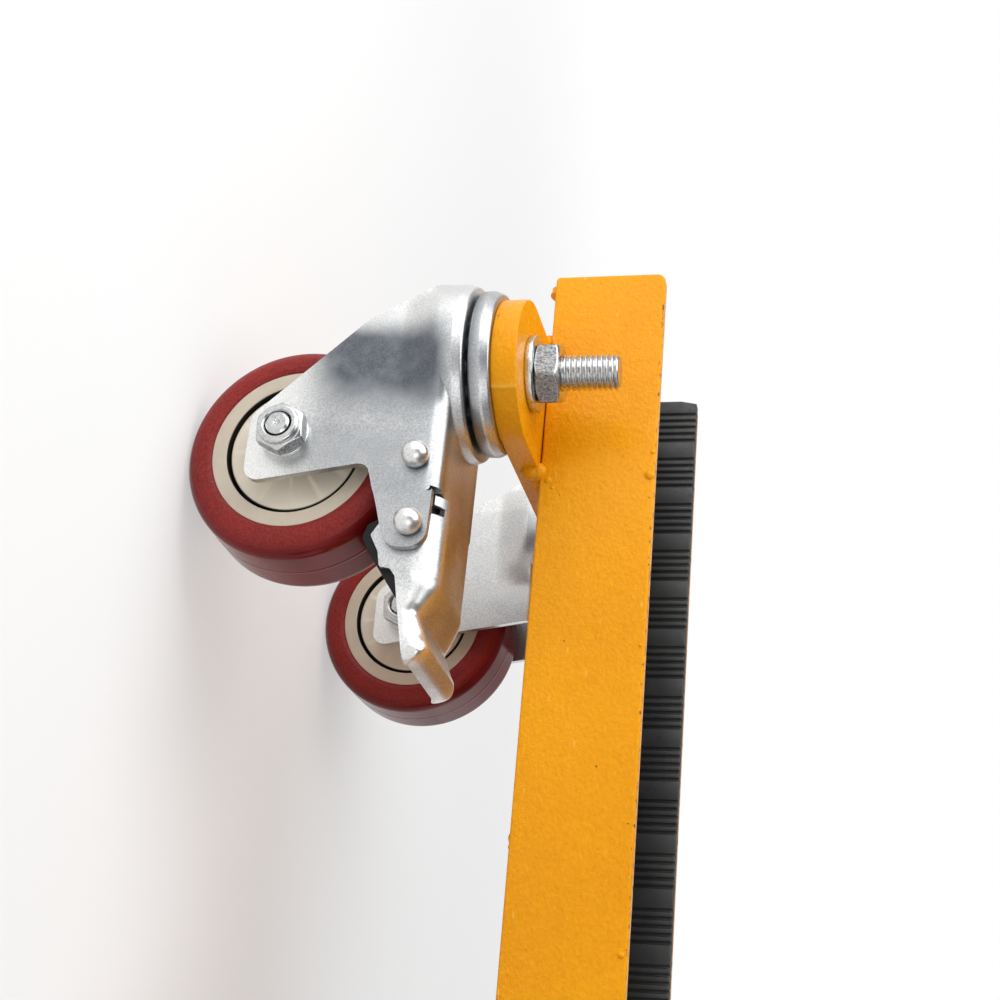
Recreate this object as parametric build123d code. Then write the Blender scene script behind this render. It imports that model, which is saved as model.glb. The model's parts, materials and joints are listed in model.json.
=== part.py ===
from build123d import *
import os

# Driving dimensions, in millimetres and degrees.
# Heights are counted from the top face of the crossbars.
# The last step lifts the whole cart, so that its wheels stand on the floor.

# Channel and crossbars
cart_length = 400.0
channel_width = 104.4
side_plate_height = 39.0
plate_thickness = 5.0
plate_corner_radius = 3.0
plate_low_corner_radius = 1.2
stem_to_end = 51.0
stem_track = 150.2
bar_width = 49.0
bar_thickness = 8.5

# Ribbed rubber lining
pad_thickness = 4.5
side_pad_top = 39.3
side_pad_end_gap = 0.6
groove_width = 1.35
groove_depth = 1.0
groove_pitch = 2.83
grooves_in_group = 5
group_pitch = 19.44
side_pad_first_groove = 6.0

# Welds
bar_weld_leg = 4.8
seam_weld_radius = 1.8
seam_weld_length = 5.0
seam_weld_places = (-196.0, -95.0, 0.0, 95.0, 196.0)

# Stem bolt, nut and washer, thread M12
stem_radius = 6.0
stem_top = 29.4
stem_hole_radius = 6.3
stem_washer_radius = 12.8
stem_washer_thickness = 2.5
stem_nut_across_flats = 19.0
stem_nut_height = 8.1
stem_flange_radius = 15.0
stem_flange_thickness = 2.5
stem_head_radius = 10.0
stem_head_height = 4.0
stem_chamfer = 0.8
stem_flange_edge_radius = 1.0
stem_head_edge_radius = 1.5
nut_chamfer_share = 0.6

# Swivel bearing
race_radius = 27.6
race_thickness = 6.4
race_rim_radius = 3.1
race_gap = 2.1
upper_ball_radius = 3.0
upper_ball_circle = 19.0
upper_ball_count = 16
lower_ball_radius = 2.0
lower_ball_circle = 11.0
lower_ball_count = 14
lower_ball_sink = 0.5
ball_clearance = 0.06
running_clearance = 0.05

# Fork
fork_inside = 43.0
fork_sheet = 2.5
fork_bend_radius = 4.2
fork_inner_bend_radius = 1.5
fork_web_top = -20.3
crown_radius = 30.0
crown_rim_radius = 3.4
crown_sheet = 3.0
crown_hollow_radius = 20.5
crown_hollow_edge_radius = 1.0
crown_low_edge_radius = 0.6
flare_bottom = -38.0
flare_inset = 0.5
brake_web_end = 54.9
brake_arm_end = 73.2
relief_length = 3.5
relief_depth = 3.5
relief_width = 5.0

# Axle and wheel
wheel_radius = 37.5
wheel_width = 32.0
tyre_shoulder_radius = 6.2
core_radius = 27.8
core_width = 30.8
cover_radius = 21.8
cover_gap = 1.1
cover_seat = 12.6
cover_bore_radius = 6.6
cover_rim_face = 14.4
cover_hub_face = 15.2
axle_trail = 34.2
axle_drop = 72.6
axle_radius = 4.0
axle_hole_radius = 4.2
axle_washer_radius = 8.0
axle_washer_thickness = 1.6
axle_hex_across_flats = 15.0
axle_head_height = 5.3
axle_nut_hex_height = 5.5
axle_nut_collar_height = 2.0
axle_nut_collar_radius = 6.9
axle_end_past_nut = 0.3
axle_nut_turn = 3.0
sleeve_radius = 6.0
sleeve_bore_radius = 4.1
bearing_radius = 14.0
bearing_width = 8.0
bearing_stop_radius = 12.0

# Brake
pedal_pivot = (65.4, -28.1)
pedal_side_gap = 0.3
pedal_sheet = 2.0
pedal_bend_radius = 9.0
pedal_inner_bend_radius = 7.0
pedal_pin_radius = 3.0
spring_pin_place = (42.5, -28.3)
spring_pin_radius = 2.4
pin_hole_clearance = 0.1
pin_head_radius = 4.4
pin_head_lift = 2.4
spring_sheet = 0.8
spring_half_width = 15.0

# How far a cut runs past the face that it opens
cut_reach = 1.0
fine_cut_reach = 0.01

# Each caster: place along and across the cart, brake or not, and the way that it trails at rest
casters = {
    "front_left": (-1, -1, True, -1.3),
    "front_right": (-1, 1, False, 2.1),
    "rear_right": (1, 1, True, 178.7),
    "rear_left": (1, -1, False, 182.1),
}

# Outlines seen from the side, as x, height and corner radius.
# They lie in the caster's own frame: the stem axis at x = 0, and the wheel trailing towards +x.
leg_foot = [
    (26.6, -85.3, 6.4),
    (-9.3, -48.8, 25.0),
    (-22.0, -24.4, 2.0),
    (-20.6, fork_web_top, 0.0),
]
plain_fork_outline = leg_foot + [
    (37.2, fork_web_top, 0.0),
    (48.9, -85.2, 4.8),
]
brake_fork_outline = leg_foot + [
    (brake_web_end, fork_web_top, 0.0),
    (brake_web_end, -22.2, 0.0),
    (brake_arm_end, -22.2, 6.4),
    (73.0, -35.5, 6.4),
    (43.9, -44.0, 4.5),
    (50.5, -84.9, 4.8),
]
pedal_top_line = [
    (56.4, -18.8, 0.0),
    (83.2, -18.8, 8.5),
    (92.6, -24.0, 1.0),
    (103.2, -19.2, 3.0),
    (108.8, -24.2, 0.0),
]
pedal_flange_line = [
    (108.2, -25.6, 0.0),
    (104.2, -27.2, 0.0),
    (93.0, -29.4, 0.0),
    (81.5, -31.6, 1.0),
    (79.0, -33.5, 1.0),
    (78.4, -37.0, 1.0),
    (73.3, -38.0, 3.0),
    (67.8, -41.0, 1.2),
    (61.2, -37.6, 4.0),
    (56.4, -26.6, 3.0),
]
brake_pad_outline = [
    (63.2, -43.0, 1.5),
    (67.6, -44.4, 1.2),
    (72.0, -42.2, 1.5),
    (78.5, -37.6, 0.0),
    (87.0, -31.8, 0.6),
    (86.0, -30.6, 0.0),
    (71.8, -34.2, 0.0),
    (58.5, -34.9, 0.0),
]
spring_tongue_outline = [
    (42.5, -25.85, 0.0),
    (52.5, -25.85, 4.0),
    (61.5, -24.2, 0.0),
    (61.3, -23.4, 0.0),
    (52.5, -25.05, 4.0),
    (42.5, -25.05, 0.0),
]

# Sizes worked out from those above
deck_height = wheel_radius + axle_drop
stem_place_x = cart_length / 2 - stem_to_end
stem_place_y = stem_track / 2
lining_half_width = channel_width / 2 - plate_thickness
slot_half_width = lining_half_width - pad_thickness
race_top = -bar_thickness
race_bottom = race_top - race_thickness
crown_top = race_bottom - race_gap
crown_bottom = fork_web_top - fork_sheet
crown_under = crown_top - crown_sheet
upper_ball_height = (race_bottom + crown_top) / 2
flange_top = crown_under - 2 * (lower_ball_radius - lower_ball_sink)
lower_ball_height = (crown_under + flange_top) / 2
fork_half_width = fork_inside / 2 + fork_sheet
pedal_half_width = fork_inside / 2 - pedal_side_gap
axle_place = (axle_trail, -axle_drop)
washer_face = fork_half_width + axle_washer_thickness
nut_end = washer_face + axle_nut_hex_height + axle_nut_collar_height
low_end = -deck_height


def outline(corners):
    """A flat face with straight sides, each corner rounded by its own radius."""
    points = [(x, y) for x, y, _ in corners]
    radii = [radius for _, _, radius in corners]
    return make_face(FilletPolyline(*points, radius=radii, close=True))


def side_view(corners, half_width):
    """A solid with this outline in side view, as wide on both sides of the middle plane."""
    return extrude(Plane.XZ * outline(corners), amount=half_width, both=True)


def end_view(corners, start, end):
    """A solid with this outline seen from the cart's end, running along X."""
    return extrude(Plane.YZ.offset(start) * outline(corners), amount=end - start)


def turned(corners):
    """A solid of revolution about the stem axis, from radius, height and corner radius."""
    return revolve(Plane.XZ * outline(corners), axis=Axis.Z)


def wheel_turned(corners):
    """A solid of revolution about the axle, from radius, place along the axle and corner radius."""
    return Pos(axle_trail, 0, -axle_drop) * revolve(outline(corners), axis=Axis.Y)


def crossways(radius, place, start, end):
    """A round bar along Y through this place in side view."""
    x, height = place
    return Pos(x, (start + end) / 2, height) * Rot(90, 0, 0) * Cylinder(radius, abs(end - start))


def tube(outer, inner, place, start, end):
    """A round bar along Y with a hole through it."""
    return crossways(outer, place, start, end) - crossways(inner, place, start, end)


def hexagon(across_flats, height, bore=0.0):
    """A hexagon on the XY plane, rising from it, with its top corners turned off."""
    body = extrude(RegularPolygon(across_flats / 2, 6, major_radius=False), amount=height)
    corner = across_flats / 3**0.5
    top_radius = corner - (corner - across_flats / 2) * nut_chamfer_share
    body = body & Pos(0, 0, height / 2) * Cone(top_radius + height, top_radius, height)
    if bore:
        body = body - Cylinder(bore, 3 * height)
    return body


def ring_of_balls(radius, circle, height, count):
    """Separate balls spaced evenly on a circle about the stem axis."""
    return [loc * Sphere(radius) for loc in Pos(0, 0, height) * PolarLocations(circle, count)]


def groove_centres(first, length):
    """Where the grooves of a ribbed sheet lie along it, in groups with smooth bands between them."""
    centres = []
    start = first
    while start + (grooves_in_group - 1) * groove_pitch < length - groove_width:
        centres += [start + n * groove_pitch for n in range(grooves_in_group)]
        start += group_pitch
    return centres


def ribbed_outline(first, length):
    """The edge view of a ribbed sheet: its back on the X axis, its grooved face above it."""
    points = [(0, 0), (0, pad_thickness)]
    for centre in groove_centres(first, length):
        before = centre - groove_width / 2
        after = centre + groove_width / 2
        floor = pad_thickness - groove_depth
        points += [(before, pad_thickness), (before, floor), (after, floor), (after, pad_thickness)]
    points += [(length, pad_thickness), (length, 0)]
    return Pos(-length / 2, 0) * make_face(Polyline(*points, close=True))


# Channel: base plate and two side plates
def side_plate(side):
    half = cart_length / 2
    corners = [
        (-half, 0, plate_low_corner_radius),
        (half, 0, plate_low_corner_radius),
        (half, side_plate_height, plate_corner_radius),
        (-half, side_plate_height, plate_corner_radius),
    ]
    middle = side * (channel_width - plate_thickness) / 2
    return Pos(0, middle, 0) * side_view(corners, plate_thickness / 2)


def base_plate():
    return Pos(0, 0, plate_thickness / 2) * Box(cart_length, 2 * lining_half_width, plate_thickness)


# Crossbars: flat bars with round ends, each with a hole for two stems
def crossbar(end):
    bar = extrude(Rot(0, 0, 90) * SlotOverall(stem_track + bar_width, bar_width), amount=-bar_thickness)
    for side in (-1, 1):
        bar = bar - Pos(0, side * stem_place_y, 0) * Cylinder(stem_hole_radius, 3 * bar_thickness)
    return Pos(end * stem_place_x, 0, 0) * bar


# Welds: fillets along the crossbars, and short beads under the seams of the channel
def bar_weld(end, side):
    edge = bar_width / 2
    corners = [(edge, 0, 0), (edge + bar_weld_leg, 0, 0), (edge, -bar_weld_leg, 0)]
    bead = side_view(corners, channel_width / 2)
    turn = 0 if side > 0 else 180
    return Pos(end * stem_place_x, 0, 0) * Rot(0, 0, turn) * bead


def seam_weld(place, side):
    bead = Rot(0, 90, 0) * Cylinder(seam_weld_radius, seam_weld_length)
    below = Pos(0, 0, -seam_weld_radius) * Box(seam_weld_length, 4 * seam_weld_radius, 2 * seam_weld_radius)
    return Pos(place, side * lining_half_width, 0) * (bead & below)


# Rubber lining: a floor pad between two side pads, grooved across the cart
def side_pad(side):
    length = cart_length - 2 * side_pad_end_gap
    pad = extrude(ribbed_outline(side_pad_first_groove, length), amount=side_pad_top - plate_thickness)
    pad = Pos(0, lining_half_width, plate_thickness) * mirror(pad, about=Plane.XZ)
    return pad if side > 0 else Rot(0, 0, 180) * pad


def floor_pad():
    group_length = (grooves_in_group - 1) * groove_pitch
    smooth_band = group_pitch - group_length
    groups_each_side = int((cart_length / 2 - groove_width) / group_pitch)
    first = cart_length / 2 + smooth_band / 2 - groups_each_side * group_pitch
    pad = extrude(Plane.XZ * ribbed_outline(first, cart_length), amount=slot_half_width, both=True)
    return Pos(0, 0, plate_thickness) * pad


# Stem bolt with its thread end, flange and head, and what is clamped by its nut
def stem_bolt():
    flange_bottom = flange_top - stem_flange_thickness
    head_bottom = flange_bottom - stem_head_height
    bolt = turned(
        [
            (0, stem_top, 0),
            (stem_radius - stem_chamfer, stem_top, 0),
            (stem_radius, stem_top - stem_chamfer, 0),
            (stem_radius, flange_top, 0),
            (stem_flange_radius, flange_top, 0),
            (stem_flange_radius, flange_bottom, stem_flange_edge_radius),
            (stem_head_radius, flange_bottom, 0),
            (stem_head_radius, head_bottom, stem_head_edge_radius),
            (0, head_bottom, 0),
        ]
    )
    return bolt - ball_groove(lower_ball_circle, lower_ball_radius, lower_ball_height)


def ball_groove(circle, radius, height):
    return Pos(0, 0, height) * Torus(circle, radius + ball_clearance)


def stem_washer():
    hole = Cylinder(stem_hole_radius, stem_washer_thickness)
    washer = Cylinder(stem_washer_radius, stem_washer_thickness) - hole
    return Pos(0, 0, stem_washer_thickness / 2) * washer


def stem_nut():
    nut = hexagon(stem_nut_across_flats, stem_nut_height, stem_radius + running_clearance)
    return Pos(0, 0, stem_washer_thickness) * nut


def upper_race():
    race = turned(
        [
            (stem_hole_radius, race_top, 0),
            (race_radius, race_top, race_rim_radius),
            (race_radius, race_bottom, race_rim_radius),
            (stem_hole_radius, race_bottom, 0),
        ]
    )
    return race - ball_groove(upper_ball_circle, upper_ball_radius, upper_ball_height)


# Corners of an upright section with a flat top and two rounded bends
def arch(half_width, top, bend):
    return [
        (-half_width, low_end, 0),
        (half_width, low_end, 0),
        (half_width, top, bend),
        (-half_width, top, bend),
    ]


# Fork: a bent channel of sheet, cut to the legs' outline, under a round crown that holds the balls
def bent_channel(half_width, top, sheet, outer_bend, inner_bend, start, end):
    outer = arch(half_width, top, outer_bend)
    inner = arch(half_width - sheet, top - sheet, inner_bend)
    return end_view(outer, start, end) - end_view(inner, start, end)


def crown():
    bore = stem_radius + running_clearance
    disc = turned(
        [
            (bore, crown_top, 0),
            (crown_radius, crown_top, crown_rim_radius),
            (crown_radius, crown_bottom, crown_low_edge_radius),
            (crown_hollow_radius, crown_bottom, 0),
            (crown_hollow_radius, crown_under, crown_hollow_edge_radius),
            (bore, crown_under, 0),
        ]
    )
    flare = turned(
        [
            (0, crown_bottom, 0),
            (crown_radius - crown_low_edge_radius, crown_bottom, 0),
            (fork_half_width - flare_inset, flare_bottom, 0),
            (0, flare_bottom, 0),
        ]
    )
    between_legs = Box(4 * crown_radius, fork_inside, 4 * crown_radius)
    return disc + (flare - between_legs)


def fork(braked):
    corners = brake_fork_outline if braked else plain_fork_outline
    body = bent_channel(
        fork_half_width,
        fork_web_top,
        fork_sheet,
        fork_bend_radius,
        fork_inner_bend_radius,
        -crown_radius,
        3 * crown_radius,
    )
    body = body & side_view(corners, 2 * fork_half_width)
    well = Pos(0, 0, crown_bottom) * Cylinder(crown_hollow_radius, 2 * (crown_under - crown_bottom))
    body = (body - well) + crown()
    body = body - ball_groove(upper_ball_circle, upper_ball_radius, upper_ball_height)
    body = body - ball_groove(lower_ball_circle, lower_ball_radius, lower_ball_height)
    reach = 2 * fork_half_width
    body = body - crossways(axle_hole_radius, axle_place, -reach, reach)
    if braked:
        pins = ((pedal_pivot, pedal_pin_radius), (spring_pin_place, spring_pin_radius))
        for place, radius in pins:
            body = body - crossways(radius + pin_hole_clearance, place, -reach, reach)
        between_arms = Box(brake_arm_end, fork_inside, 4 * fork_bend_radius)
        body = body - Pos(brake_web_end + brake_arm_end / 2, 0, fork_web_top) * between_arms
        relief = Box(relief_length, 2 * relief_width, 2 * relief_depth)
        relief_middle = brake_web_end - relief_length / 2 + fine_cut_reach
        for side in (-1, 1):
            body = body - Pos(relief_middle, side * fork_half_width, fork_web_top) * relief
    return body


def swivel_balls():
    upper = ring_of_balls(upper_ball_radius, upper_ball_circle, upper_ball_height, upper_ball_count)
    lower = ring_of_balls(lower_ball_radius, lower_ball_circle, lower_ball_height, lower_ball_count)
    return upper + lower


# Axle: bolt, sleeve, two washers and a lock nut
def axle_bolt():
    shank = crossways(axle_radius, axle_place, -nut_end - axle_end_past_nut, washer_face)
    head = Rot(-90, 0, 0) * hexagon(axle_hex_across_flats, axle_head_height)
    return shank + Pos(axle_trail, washer_face, -axle_drop) * head


def axle_nut():
    bore = axle_radius + running_clearance
    hexagon_end = washer_face + axle_nut_hex_height
    body = Rot(90, 0, 0) * Rot(0, 0, axle_nut_turn) * hexagon(axle_hex_across_flats, axle_nut_hex_height)
    body = Pos(axle_trail, -washer_face, -axle_drop) * body
    body = body + crossways(axle_nut_collar_radius, axle_place, -nut_end, -hexagon_end)
    return body - crossways(bore, axle_place, -2 * nut_end, 0)


def axle_washers():
    return [
        tube(axle_washer_radius, axle_hole_radius, axle_place, side * fork_half_width, side * washer_face)
        for side in (-1, 1)
    ]


def axle_sleeve():
    return tube(sleeve_radius, sleeve_bore_radius, axle_place, -fork_inside / 2, fork_inside / 2)


# Wheel: tyre, core, two bearings and two dust covers
def tyre():
    side = core_width / 2
    shoulder = wheel_width / 2
    return wheel_turned(
        [
            (core_radius, -side, 0),
            (wheel_radius, -shoulder, tyre_shoulder_radius),
            (wheel_radius, shoulder, tyre_shoulder_radius),
            (core_radius, side, 0),
        ]
    )


def wheel_core():
    side = core_width / 2
    lip = cover_radius + cover_gap
    stop = cover_seat - bearing_width
    half = [
        (bearing_stop_radius, stop, 0),
        (bearing_radius, stop, 0),
        (bearing_radius, cover_seat, 0),
        (lip, cover_seat, 0),
        (lip, side, 0),
        (core_radius, side, 0),
    ]
    other_half = [(radius, -place, 0) for radius, place, _ in reversed(half)]
    return wheel_turned(half + other_half)


def wheel_bearings():
    inner = sleeve_radius + running_clearance
    stop = cover_seat - bearing_width
    return [
        wheel_turned(
            [
                (inner, side * stop, 0),
                (bearing_radius, side * stop, 0),
                (bearing_radius, side * cover_seat, 0),
                (inner, side * cover_seat, 0),
            ]
        )
        for side in (-1, 1)
    ]


def dust_covers():
    return [
        wheel_turned(
            [
                (cover_bore_radius, side * cover_seat, 0),
                (cover_radius, side * cover_seat, 0),
                (cover_radius, side * cover_rim_face, 0),
                (cover_bore_radius, side * cover_hub_face, 0),
            ]
        )
        for side in (-1, 1)
    ]


# Brake: pedal, pad, leaf spring and two headed pins
def brake_pedal():
    start, top, _ = pedal_top_line[0]
    tip, tip_height, _ = pedal_top_line[-1]
    start = start - cut_reach
    end = tip + cut_reach
    envelope = side_view(pedal_top_line + pedal_flange_line, pedal_half_width)
    envelope = envelope & end_view(arch(pedal_half_width, top, pedal_bend_radius), start, end)
    under = top - pedal_sheet
    under_line = [(x, height - pedal_sheet, radius) for x, height, radius in pedal_top_line[1:-1]]
    under_tip = tip_height - pedal_sheet - cut_reach
    below = [(end, under_tip, 0), (end, low_end, 0), (start, low_end, 0)]
    inside = pedal_half_width - pedal_sheet
    hollow = side_view([(start, under, 0), *under_line, *below], inside)
    hollow = hollow & end_view(arch(inside, under, pedal_inner_bend_radius), start, end)
    reach = 2 * pedal_half_width
    pivot = crossways(pedal_pin_radius + running_clearance, pedal_pivot, -reach, reach)
    return envelope - hollow - pivot


def brake_pad():
    return side_view(brake_pad_outline, pedal_half_width - pedal_sheet)


def headed_pin(radius, place):
    head_height = pin_head_lift + pin_head_radius
    dome = Pos(0, 0, pin_head_lift) * Sphere(pin_head_radius)
    above = Pos(0, 0, head_height) * Box(3 * pin_head_radius, 3 * pin_head_radius, 2 * head_height)
    dome = dome & above
    x, height = place
    pin = crossways(radius, place, -fork_half_width, fork_half_width)
    pin = pin + Pos(x, -fork_half_width, height) * Rot(90, 0, 0) * dome
    return pin + Pos(x, fork_half_width, height) * Rot(-90, 0, 0) * dome


def brake_pins():
    return [headed_pin(pedal_pin_radius, pedal_pivot), headed_pin(spring_pin_radius, spring_pin_place)]


def brake_spring():
    inner = spring_pin_radius + running_clearance
    outer = inner + spring_sheet
    eye = crossways(outer, spring_pin_place, -spring_half_width, spring_half_width)
    tongue = side_view(spring_tongue_outline, spring_half_width)
    return (eye + tongue) - crossways(inner, spring_pin_place, -2 * spring_half_width, 2 * spring_half_width)


# The whole cart: every node by name
nodes = {}


def add(name, pieces, place=Pos(0, 0, 0)):
    """Keeps one node: a solid, or a group of separate solids, at its place on the cart."""
    group = pieces if isinstance(pieces, list) else [pieces]
    nodes[name] = Compound([solid for piece in group for solid in (place * piece).solids()])


add("base_plate", base_plate())
add("left_side_plate", side_plate(-1))
add("right_side_plate", side_plate(1))
add("crossbars", [crossbar(-1), crossbar(1)])
bar_welds = [bar_weld(end, side) for end in (-1, 1) for side in (-1, 1)]
seam_welds = [seam_weld(place, side) for place in seam_weld_places for side in (-1, 1)]
add("weld_beads", bar_welds + seam_welds)
add("floor_pad", floor_pad())
add("left_side_pad", side_pad(-1))
add("right_side_pad", side_pad(1))

places = {
    name: Pos(end * stem_place_x, side * stem_place_y, 0) * Rot(0, 0, trail_angle)
    for name, (end, side, _, trail_angle) in casters.items()
}
add("stem_bolts", [place * stem_bolt() for place in places.values()])
add("stem_nuts", [place * stem_nut() for place in places.values()])
add("stem_washers", [place * stem_washer() for place in places.values()])
add("upper_races", [place * upper_race() for place in places.values()])

for name, (_, _, braked, _) in casters.items():
    place = places[name]
    add(f"{name}_fork", fork(braked), place)
    add(f"{name}_swivel_balls", swivel_balls(), place)
    add(f"{name}_axle_bolt", axle_bolt(), place)
    add(f"{name}_axle_nut", axle_nut(), place)
    add(f"{name}_axle_washers", axle_washers(), place)
    add(f"{name}_axle_sleeve", axle_sleeve(), place)
    add(f"{name}_tyre", tyre(), place)
    add(f"{name}_wheel_core", wheel_core(), place)
    add(f"{name}_wheel_bearings", wheel_bearings(), place)
    add(f"{name}_dust_covers", dust_covers(), place)
    if braked:
        add(f"{name}_brake_pedal", brake_pedal(), place)
        add(f"{name}_brake_pad", brake_pad(), place)
        add(f"{name}_brake_pins", brake_pins(), place)
        add(f"{name}_brake_spring", brake_spring(), place)

os.makedirs("parts", exist_ok=True)
for name, node in nodes.items():
    export_step(Pos(0, 0, deck_height) * node, f"parts/{name}.step")
print(len(nodes), "nodes")
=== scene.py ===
# %% [markdown]
# # A stone slab cart
# A low steel channel holds a stone slab on edge, and swivel casters carry it over the building site.
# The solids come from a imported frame, in metres, with +X along the channel, +Y across it and +Z up.
# Each cell below makes one group of pieces or one finish, and puts it on the body that it moves with.

# %% Load the frame
import json

import bmesh
import bpy
import numpy as np
from mathutils import Matrix, Vector


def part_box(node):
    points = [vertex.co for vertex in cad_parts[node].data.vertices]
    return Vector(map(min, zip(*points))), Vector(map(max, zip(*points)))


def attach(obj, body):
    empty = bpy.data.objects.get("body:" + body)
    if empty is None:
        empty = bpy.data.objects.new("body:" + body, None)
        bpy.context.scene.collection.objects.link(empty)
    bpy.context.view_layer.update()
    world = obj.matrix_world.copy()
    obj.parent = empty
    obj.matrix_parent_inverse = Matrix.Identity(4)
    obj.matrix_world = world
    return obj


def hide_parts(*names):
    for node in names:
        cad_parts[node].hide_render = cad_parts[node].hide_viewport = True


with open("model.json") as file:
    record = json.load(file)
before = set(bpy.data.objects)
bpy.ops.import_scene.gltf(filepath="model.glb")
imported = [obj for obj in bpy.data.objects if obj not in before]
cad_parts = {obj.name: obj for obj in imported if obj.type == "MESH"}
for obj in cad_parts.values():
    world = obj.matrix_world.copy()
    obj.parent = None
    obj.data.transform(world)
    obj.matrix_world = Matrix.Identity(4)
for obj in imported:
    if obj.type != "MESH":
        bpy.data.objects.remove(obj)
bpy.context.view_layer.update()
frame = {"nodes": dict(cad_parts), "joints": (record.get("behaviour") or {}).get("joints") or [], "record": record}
joints = {joint["name"]: joint for joint in frame["joints"]}
bodies = frame["record"]["behaviour"]["bodies"]
casters = [name.removesuffix("_swivel") for name in joints if name.endswith("_swivel")]
braked = [name for name in casters if f"{name}_brake" in bodies]
print(len(frame["nodes"]), "solids,", len(casters), "casters, with brakes on", braked)

# %% [markdown]
# ## The camera
# The photograph looks along the channel from beside one caster, with the cart turned so that its top
# points to the right.
# A long lens could be set by eye, but the viewpoint, the two directions and the focal length were fitted
# to known sizes, so the render can be laid over the photograph.

# %% Camera
viewpoint = Vector((0.12833, -0.58443, 0.23229))
looking_along = Vector((-0.40366, 0.88694, -0.22450)).normalized()
image_right = Vector((-0.08628, 0.20738, 0.97445))
image_right = (image_right - looking_along * image_right.dot(looking_along)).normalized()
image_up = image_right.cross(looking_along)

camera_data = bpy.data.cameras.new("camera")
camera_data.sensor_width = 36.0
camera_data.lens = 64.56
camera_data.clip_start = 0.01
camera = bpy.data.objects.new("camera", camera_data)
turn = Matrix((image_right, image_up, -looking_along)).transposed()
camera.matrix_world = Matrix.Translation(viewpoint) @ turn.to_4x4()
bpy.context.scene.collection.objects.link(camera)
bpy.context.scene.camera = camera
bpy.context.scene.view_settings.view_transform = "Standard"
print("camera", [round(v, 3) for v in viewpoint], "lens", camera_data.lens)

# %% [markdown]
# ## Shapes from grids
# Every new piece is a grid of points that numpy works out at once: a profile turned round an axis,
# a profile carried along a line, or a sheet bent over.
# Sizes are in millimetres, as on a workshop drawing, and become metres when the mesh is made.

# %% Grids of points
MILLIMETRE = 0.001


def rounded(corners, steps=7, close=True):
    """An outline with arcs at its corners, given as x, y and radius.

    An arc touches both sides of its corner at radius / tan(half angle) from it,
    and its points turn evenly from the first touching point to the second.
    """
    corners = np.asarray(corners, float)
    point = corners[:, :2]
    radius = np.maximum(corners[:, 2], 1e-4)[:, None]
    before = np.roll(point, 1, 0) - point
    after = np.roll(point, -1, 0) - point
    before /= np.linalg.norm(before, axis=1)[:, None]
    after /= np.linalg.norm(after, axis=1)[:, None]
    half = np.arccos(np.clip((before * after).sum(1), -1, 1))[:, None] / 2
    inward = (before + after) / np.maximum(np.linalg.norm(before + after, axis=1), 1e-9)[:, None]
    centre = point + inward * radius / np.sin(half)
    first = point + before * radius / np.tan(half) - centre
    last = point + after * radius / np.tan(half) - centre
    sweep = np.maximum(np.pi - 2 * half, 1e-6)[:, None]
    share = np.linspace(0, 1, steps)[None, :, None]
    arc = np.sin((1 - share) * sweep) * first[:, None] + np.sin(share * sweep) * last[:, None]
    arc = centre[:, None] + arc / np.sin(sweep)
    if close:
        return arc.reshape(-1, 2)
    return np.vstack([point[:1], arc[1:-1].reshape(-1, 2), point[-1:]])


def quads(rows, columns, close_rows=False, close_columns=False):
    """The four-sided faces of a grid: each joins a point to its neighbours in this row and the next."""
    row, column = np.meshgrid(
        np.arange(rows if close_rows else rows - 1),
        np.arange(columns if close_columns else columns - 1),
        indexing="ij",
    )
    next_row, next_column = (row + 1) % rows, (column + 1) % columns
    corners = [row * columns + column, next_row * columns + column]
    corners += [next_row * columns + next_column, row * columns + next_column]
    return np.stack(corners, -1).reshape(-1, 4)


def rings(grid, close=False):
    """A tube of rings, each a row of the grid, with a flat cap on both ends unless it closes on itself."""
    count, around = grid.shape[:2]
    faces = quads(count, around, close_rows=close, close_columns=True).tolist()
    if not close:
        faces += [list(range(around)), list(range((count - 1) * around, count * around))]
    return grid.reshape(-1, 3), faces


def turned(profile, segments=96):
    """A closed profile of radius and height carried round the Z axis."""
    profile = np.asarray(profile, float)
    angle = np.arange(segments) * 2 * np.pi / segments
    radius, height = profile[:, :1], profile[:, 1:]
    grid = np.stack([radius * np.cos(angle), radius * np.sin(angle), height + 0 * angle], -1)
    return rings(grid, close=True)


def plate(outline, low, high, edge=0.6, steps=4):
    """A plate of a closed outline between two heights, its rims rounded by a quarter circle.

    Each ring is the outline moved inwards by edge * (1 - sin a),
    at the height edge * (1 - cos a) from its face.
    """
    ahead = np.roll(outline, -1, 0) - np.roll(outline, 1, 0)
    inward = np.stack([-ahead[:, 1], ahead[:, 0]], -1) / np.linalg.norm(ahead, axis=1)[:, None]
    area = (outline[:, 0] * np.roll(outline[:, 1], -1) - np.roll(outline[:, 0], -1) * outline[:, 1]).sum()
    inward *= np.sign(area)
    angle = np.linspace(0, np.pi / 2, steps)
    inset = edge * (1 - np.sin(angle))
    rise = edge * (1 - np.cos(angle))
    inset = np.concatenate([inset, inset[::-1]])
    height = np.concatenate([low + rise, (high - rise)[::-1]])
    ring = outline[None] + inward[None] * inset[:, None, None]
    return rings(np.concatenate([ring, np.broadcast_to(height[:, None, None], ring.shape[:2] + (1,))], -1))


# Turns of a shape: none, its Z axis towards -Y, its Z axis towards +Y, and half a turn about Z.
UPRIGHT = ((1, 0, 0), (0, 1, 0), (0, 0, 1))
ON_EDGE = ((1, 0, 0), (0, 0, -1), (0, 1, 0))
ACROSS = ((1, 0, 0), (0, 0, 1), (0, -1, 0))
HALF_TURN = ((-1, 0, 0), (0, -1, 0), (0, 0, 1))


def moved(patch, turn=UPRIGHT, shift=(0, 0, 0)):
    """A patch turned by a matrix whose columns are its new axes, then shifted."""
    points, faces = patch
    return points @ np.asarray(turn, float).T + np.asarray(shift, float), faces


print("grid helpers ready")

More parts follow.
